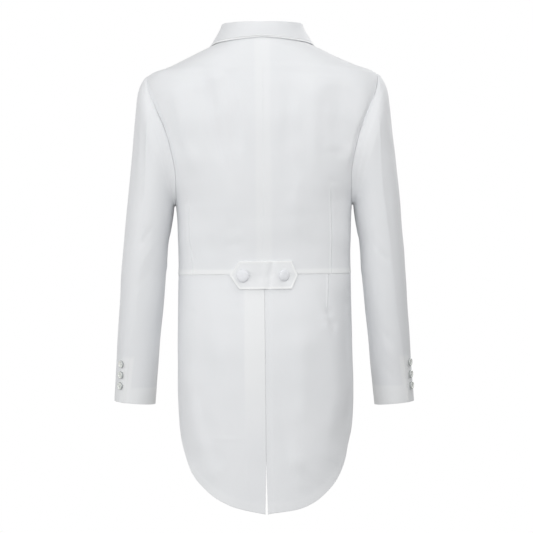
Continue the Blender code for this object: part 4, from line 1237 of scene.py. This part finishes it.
def turned(name, centre, way, profile, skin, shape=None, segments=64):
    """Spin a half section, given as (radius, height) from its base to its crown, about an axis."""
    side_way, up_way = button_ways(way)
    profile = np.array(profile, float)
    radius, height = profile[1:-1, :1], profile[1:-1, 1:]
    spin = np.linspace(0, 2 * np.pi, segments, endpoint=False)[None, :]
    a, b = radius * np.cos(spin), radius * np.sin(spin)
    height = height + (shape(a, b, spin, np.broadcast_to(height, a.shape)) if shape else 0 * a)
    ring = a[..., None] * side_way + b[..., None] * up_way + height[..., None] * way
    ends = np.stack([profile[0, 1] * way, profile[-1, 1] * way])
    vertices = centre + np.concatenate([ring.reshape(-1, 3), ends])
    rows = len(profile) - 2
    number = np.arange(rows * segments).reshape(rows, segments)
    beside = np.roll(number, -1, axis=1)
    quads = np.stack([number[:-1], beside[:-1], beside[1:], number[1:]], axis=-1).reshape(-1, 4).tolist()
    base, crown = rows * segments, rows * segments + 1
    fans = [(base, beside[0, k], number[0, k]) for k in range(segments)]
    fans += [(crown, number[-1, k], beside[-1, k]) for k in range(segments)]
    faces = quads + [tuple(int(v) for v in fan) for fan in fans]
    volume = sum(np.dot(vertices[f[0]], np.cross(vertices[f[k]], vertices[f[k + 1]]))
                 for f in faces for k in range(1, len(f) - 1))
    if volume < 0:
        faces = [face[::-1] for face in faces]
    mesh = bpy.data.meshes.new(name)
    mesh.from_pydata(vertices.tolist(), [], faces)
    layer = mesh.uv_layers.new(name="cloth")
    flat = np.stack([(vertices - centre) @ side_way, (vertices - centre) @ up_way], axis=-1)
    order = np.array([v for face in faces for v in face])
    layer.uv.foreach_set("vector", flat[order].astype(np.float32).reshape(-1))
    mesh.materials.append(skin)
    mesh.shade_smooth()
    print(name, len(faces), "faces")
    return put_in_scene(name, mesh)


def covered_section(size):
    """Half section of a covered button, from under its middle over the rim to the crown."""
    radius, tall = size * TAB_BUTTON_DIAMETER / 2, TAB_BUTTON_HEIGHT
    section = [(0, -0.0006), (0.0025, -0.0006), (0.003, 0.0), (radius * 0.55, 0.0003)]
    section += [(radius * 0.80, 0.0005), (radius * 0.90, 0.0008), (radius * 0.96, 0.0013)]
    for turn in np.linspace(0, 90, 14):
        lift = math.sin(math.radians(turn))
        section.append((radius * math.cos(math.radians(turn)) ** 0.62, blend(0.0019, tall, lift)))
    return section[:-1] + [(0, tall)]


def gathers(a, b, spin, height):
    """Small pleats under the rim of a covered button, and the slight sag of its cloth."""
    near_rim = 1 - ramp(height, 0.0015, 0.0032)
    return near_rim * 0.00012 * np.sin(spin * 17 + 2 * np.sin(spin * 3)) + 0.00006 * np.sin(spin * 5)


def pearl_section():
    """Half section of a pearl button: flat base, round rim and a dished face."""
    radius, tall = CUFF_BUTTON_DIAMETER / 2, CUFF_BUTTON_HEIGHT
    section = [(0, 0.0), (radius * 0.5, 0.0), (radius * 0.80, 0.00005)]
    for turn in np.linspace(-70, 70, 11):
        t = math.radians(turn)
        section.append((radius - 0.0013 + 0.0013 * math.cos(t), tall * 0.5 + tall * 0.47 * math.sin(t)))
    section += [(radius * 0.74, tall * 0.985), (radius * 0.66, tall * 0.93), (radius * 0.58, tall * 0.80)]
    section += [(radius * 0.52, tall * 0.69)]
    section += [(reach, tall * 0.66) for reach in np.arange(0.0035, 0.0002, -0.0003)]
    return section + [(0, tall * 0.66)]


def four_holes(a, b, spin, height):
    """Four round holes sunk in the face of a button."""
    sunk = 0 * a
    for x in (-HOLE_SPREAD, HOLE_SPREAD):
        for y in (-HOLE_SPREAD, HOLE_SPREAD):
            reach = np.hypot(a - x, b - y)
            sunk = sunk + (1 - ramp(reach, HOLE_RADIUS * 0.7, HOLE_RADIUS * 1.2))
    return -0.0016 * sunk * (height > CUFF_BUTTON_HEIGHT * 0.5) * (np.hypot(a, b) < 0.0036)


# %% All eight buttons
sewn_bars = []
for side, hand in SIDES:
    seat, way = tab_surface(np.array(TAB_BUTTONS_X[hand]), np.array(TAB_BUTTON_Z))
    way = unit(way + np.array([TAB_BUTTON_LEANS[hand], 0.0, 0.0]))
    dressed["tab_button_" + hand] = turned(
        "covered_button_" + hand, seat + way * (TAB_BUTTON_LIFT + LEAN_LIFT * abs(TAB_BUTTON_LEANS[hand])),
        way, covered_section(TAB_BUTTON_SIZES[hand]), covered, gathers)
    rings = np.linspace(0, LAST_RING, 400)
    turns = CUFF_BUTTON_ANGLE + forearm_twist(rings, side)
    line = sleeve(turns, rings) + cuff_hang(rings, side)
    for number, height in enumerate(CUFF_BUTTON_HEIGHTS[hand], 1):
        ring = float(np.interp(-height, -line[:, 2], rings))
        turn = CUFF_BUTTON_ANGLE + float(forearm_twist(ring, side))
        way = sleeve_normal(turn, ring) * on_side(side)
        stand_off = SEAM_GAP + CUFF_BUTTON_STAND + cuff_fullness(turn, ring, side)
        seat = (sleeve(turn, ring) + cuff_hang(ring, side)) * on_side(side) + way * stand_off
        piece = turned(f"pearl_button_{hand}_{number}", seat, way, pearl_section(), pearl, four_holes)
        dressed[f"cuff_button_{hand}_{number}"] = piece
        side_way, up_way = button_ways(way)
        for x in (-HOLE_SPREAD, HOLE_SPREAD):
            over = seat + way * CUFF_BUTTON_HEIGHT * 0.70 + side_way * x
            sewn_bars.append((over - up_way * HOLE_SPREAD, over + up_way * HOLE_SPREAD, way))
print(len(sewn_bars), "bars of silk to sew")

# %% [markdown]
# Hand stitches
#
# Edges of an evening coat are held by pick stitches: short slanting dots of silk, a few millimetres
# in from the edge. There are nearly five hundred, so Geometry Nodes sews them: a line is laid just
# in from each edge, cut to even steps, and each step gets one small bead of thread that lies along
# the line and flat on the cloth. The bars across the pearl buttons are sewn by the same nodes.

# %% The sewing tree
SEED = 7


def sewing_tree():
    """Geometry Nodes that sew beads of thread along edges of a line mesh."""
    tree = bpy.data.node_groups.new("sew_along_edges", "GeometryNodeTree")
    face = tree.interface
    face.new_socket("Geometry", in_out="INPUT", socket_type="NodeSocketGeometry")
    for name in ("Pitch", "Stitch length", "Thread width"):
        face.new_socket(name, in_out="INPUT", socket_type="NodeSocketFloat")
    face.new_socket("Seed", in_out="INPUT", socket_type="NodeSocketInt")
    face.new_socket("Thread", in_out="INPUT", socket_type="NodeSocketMaterial")
    face.new_socket("Geometry", in_out="OUTPUT", socket_type="NodeSocketGeometry")
    given = add(tree, "NodeGroupInput").outputs
    line = add(tree, "GeometryNodeMeshToCurve", {"Mesh": given["Geometry"]})
    steps = add(tree, "GeometryNodeResampleCurve",
                {"Curve": line.outputs["Curve"], "Length": given["Pitch"]}, mode="LENGTH")
    along = add(tree, "GeometryNodeInputTangent")
    outward = add(tree, "GeometryNodeInputNamedAttribute", values={"Name": "outward"},
                  data_type="FLOAT_VECTOR")
    laid = add(tree, "FunctionNodeAlignRotationToVector", {"Vector": along.outputs[0]}, axis="X")
    flat = add(tree, "FunctionNodeAlignRotationToVector",
               {"Rotation": laid.outputs[0], "Vector": outward.outputs[0]}, axis="Z", pivot_axis="X")
    bead = add(tree, "GeometryNodeMeshUVSphere", values={"Segments": 8, "Rings": 5, "Radius": 0.5})
    smooth = add(tree, "GeometryNodeSetShadeSmooth", {0: bead.outputs["Mesh"]})
    size = add(tree, "ShaderNodeCombineXYZ",
               {0: given["Stitch length"], 1: given["Thread width"], 2: given["Thread width"]})
    uneven = add(tree, "FunctionNodeRandomValue", {"Seed": given["Seed"]}, {2: 0.86, 3: 1.12},
                 data_type="FLOAT")
    scaled = add(tree, "ShaderNodeVectorMath", {0: size.outputs[0], "Scale": uneven.outputs[1]},
                 operation="SCALE")
    sewn = add(tree, "GeometryNodeInstanceOnPoints",
               {"Points": steps.outputs["Curve"], "Instance": smooth.outputs[0],
                "Rotation": flat.outputs[0], "Scale": scaled.outputs[0]})
    real = add(tree, "GeometryNodeRealizeInstances", {0: sewn.outputs["Instances"]})
    done = add(tree, "GeometryNodeSetMaterial", {0: real.outputs[0], "Material": given["Thread"]})
    add(tree, "NodeGroupOutput", {0: done.outputs[0]})
    return tree


def sew(name, lines, pitch, length, width):
    """Sew thread along lines, each a row of points and a row of outward directions."""
    vertices = np.concatenate([points for points, _ in lines])
    ways = np.concatenate([ways for _, ways in lines])
    edges, start = [], 0
    for points, _ in lines:
        edges += [(start + k, start + k + 1) for k in range(len(points) - 1)]
        start += len(points)
    mesh = bpy.data.meshes.new(name)
    mesh.from_pydata(vertices.tolist(), edges, [])
    outward = mesh.attributes.new("outward", "FLOAT_VECTOR", "POINT")
    outward.data.foreach_set("vector", ways.astype(np.float32).reshape(-1))
    guide = put_in_scene(name + "_line", mesh)
    sewing = guide.modifiers.new("sewing", "NODES")
    sewing.node_group = stitches
    wanted = {"Pitch": pitch, "Stitch length": length, "Thread width": width, "Seed": SEED,
              "Thread": silk}
    for socket in stitches.interface.items_tree:
        if socket.in_out == "INPUT" and socket.name in wanted:
            sewing[socket.identifier] = wanted[socket.name]
    guide.update_tag()
    bpy.context.view_layer.update()
    ready = guide.evaluated_get(bpy.context.evaluated_depsgraph_get())
    plain = bpy.data.meshes.new_from_object(ready)
    guide.modifiers.clear()
    bpy.data.objects.remove(guide)
    print(name, len(plain.polygons), "faces")
    return put_in_scene(name, plain)


stitches = sewing_tree()

# %% [markdown]
# The lines are read off the finished shells: the outer side of each shell is a grid of rows and
# columns, so a line a set distance in from an edge is found row by row.

# %% Lines to sew along
SINK = 0.00006


def outer_grid(piece, rows, columns):
    """Points and directions on a shell's outer side, as a grid."""
    count = rows * columns
    co = np.zeros(len(piece.data.vertices) * 3, np.float32)
    piece.data.vertices.foreach_get("co", co)
    way = np.zeros(len(piece.data.vertices) * 3, np.float32)
    piece.data.vertex_normals.foreach_get("vector", way)
    shape = (rows, columns, 3)
    return (co.reshape(-1, 3)[:count].reshape(shape).astype(float),
            way.reshape(-1, 3)[:count].reshape(shape).astype(float))


def line_in_from(points, ways, edge, distance):
    """The line that lies a distance in from one edge of a grid."""
    if edge in ("bottom", "top"):
        points, ways = points.transpose(1, 0, 2), ways.transpose(1, 0, 2)
    if edge in ("right", "top"):
        points, ways = points[:, ::-1], ways[:, ::-1]
    run = run_lengths(points, 1)
    line, out = [], []
    for row, way, steps in zip(points, ways, run):
        if steps[-1] > 2.2 * distance:
            line.append([np.interp(distance, steps, row[:, k]) for k in range(3)])
            out.append([np.interp(distance, steps, way[:, k]) for k in range(3)])
    line, out = np.array(line), unit(np.array(out))
    return line - out * SINK, out


def grid_of(node):
    """The outer grid of a dressed piece, by its node's name."""
    rows, columns = grid_sizes[dressed[node].name]
    return outer_grid(dressed[node], rows, columns)


# %% [markdown]
# Where the stitches go
#
# The collar's leaf, the lapels and the lower edges of the fronts have pick stitches close to the
# edge, and each pearl button has its two bars. The tab's stitches are sunk too deep in the cloth to
# see, so its border only has the fine groove that they leave.

# %% Sewing the edges and the buttons
EDGE_STITCH = 0.0042
lines = []
leaf, leaf_ways = grid_of("collar")
lines.append(line_in_from(leaf, leaf_ways, "right", LEAF_LINE))
for hand in ("left", "right"):
    points, ways = grid_of("lapel_" + hand)
    lines.append(line_in_from(points, ways, "right", EDGE_STITCH))
    points, ways = grid_of("front_" + hand)
    lines.append(line_in_from(points, ways, "bottom", EDGE_STITCH))
edge_stitches = sew("edge_stitches", lines, 0.0034, 0.0020, 0.00042)
bars = []
for start, end, way in sewn_bars:
    steps = np.linspace(0, 1, 4)[:, None]
    bars.append((blend(start, end, steps), np.repeat(way[None, :], 4, axis=0)))
button_thread = sew("button_thread", bars, 0.0011, 0.0016, 0.00055)

# %% [markdown]
# Swapping the imported pieces for the shells
#
# Each shell takes the place of the imported piece that it was made on, which is hidden, and rides on
# the same body. For every cloth piece the area that its shell shows is printed beside the area of
# its cut.

# %% Pieces and their cut sizes


def cloth_area(piece):
    """Area of cloth in a closed shell, which is half of its surface, in square metres."""
    return sum(face.area for face in piece.data.polygons) / 2


FLAT = {
    "back": (0.235, 0.470, 0.101),
    "front": (0.205, 0.460, 0.080),
    "tail": (0.290, 0.450, 0.093),
    "topsleeve": (0.225, 0.640, 0.110),
    "undersleeve": (0.165, 0.560, 0.066),
    "lapel": (0.110, 0.380, 0.029),
    "collar": (0.520, 0.070, 0.035),
    "back_tab": (0.132, 0.055, 0.0063),
}

for node, piece in dressed.items():
    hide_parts(node)
    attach(piece, "root")
    if "button" in node:
        continue
    kind = node.removesuffix("_left").removesuffix("_right")
    width, length, area = FLAT[kind]
    hand = node[len(kind):]
    print(node, "shows", round(cloth_area(piece), 4), "square metres, cut", area)
for piece in (edge_stitches, button_thread):
    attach(piece, "root")

# %% [markdown]
# The studio
#
# A white coat on white needs shape from light alone. The main soft light stands beside the line
# from the camera to the coat. Two on the wearer's left lighten that flank, and a weaker one high on
# the right keeps the other flank a shade darker. Two over the right shoulder and one overhead lift
# the shoulder slopes, and two more light the front, which the photo doesn't show. The backdrop is
# pure white to the camera, but gives the coat less light, so its folds keep their shade.

# %% Light and backdrop
scene = bpy.context.scene
scene.view_settings.view_transform = "Standard"
scene.view_settings.look = "None"


def soft_light(name, place, target, size, power):
    """A square area light aimed at a target."""
    light = bpy.data.lights.new(name, "AREA")
    light.size = size
    light.energy = power
    lamp = put_in_scene(name, light)
    away = np.array(place, float) - np.array(target, float)
    across = unit(np.cross([0.0, 0.0, 1.0], away))
    basis = np.stack([across, unit(np.cross(away, across)), unit(away)], axis=1)
    lamp.matrix_world = Matrix([[*basis[k], place[k]] for k in range(3)] + [[0, 0, 0, 1]])


COAT_MIDDLE = (0, 0, -0.45)
COAT_SHOULDERS = (0, 0, -0.20)
soft_light("camera_softbox", (0.2, 3.2, -0.2), COAT_MIDDLE, 1.8, 40)
soft_light("left_low_softbox", (2.2, 2.0, -0.3), COAT_MIDDLE, 1.8, 13)
soft_light("left_side_softbox", (2.6, 0.6, 0.2), COAT_MIDDLE, 1.8, 15)
soft_light("right_high_softbox", (-1.4, 2.2, 0.8), COAT_MIDDLE, 1.6, 9)
soft_light("right_top_softbox", (-0.9, 0.6, 2.0), COAT_SHOULDERS, 1.4, 14)
soft_light("right_shoulder_softbox", (-2.4, 0.8, 1.0), COAT_SHOULDERS, 1.6, 6)
soft_light("top_softbox", (0, 0.9, 2.0), COAT_SHOULDERS, 1.6, 4)
soft_light("front_left_softbox", (1.8, -2.4, 0.5), COAT_MIDDLE, 1.8, 18)
soft_light("front_right_softbox", (-1.5, -2.6, 0.9), COAT_MIDDLE, 1.8, 44)

world = bpy.data.worlds.new("white_studio")
scene.world = world
world.use_nodes = True
tree = world.node_tree
sky = tree.nodes["Background"]
seen = add(tree, "ShaderNodeLightPath").outputs["Is Camera Ray"]
level = add(tree, "ShaderNodeMix", {MIX_FACTOR: seen}, {BLEND_A: 0.30, BLEND_B: 1.0})
tree.links.new(level.outputs[0], sky.inputs["Strength"])
sky.inputs["Color"].default_value = (1.0, 1.0, 1.0, 1.0)

# %% [markdown]
# The camera
#
# The camera stands behind the coat at the height of its middle, far enough back for a calm
# perspective, and frames 1.02 metres of it.

# %% The photo's camera
PHOTO_PIXELS = 533
PIXEL_SIZE = 0.00192
SENSOR_WIDTH = 36
FRAME_WIDTH = PHOTO_PIXELS * PIXEL_SIZE
DISTANCE = 4.0
lens = bpy.data.cameras.new("studio_camera")
lens.sensor_width = SENSOR_WIDTH
lens.lens = SENSOR_WIDTH * DISTANCE / FRAME_WIDTH
camera = put_in_scene("studio_camera", lens)
camera.location = (-0.0040, DISTANCE, -0.425)
camera.rotation_euler = (math.radians(90), math.radians(0.55), math.radians(180))
scene.camera = camera
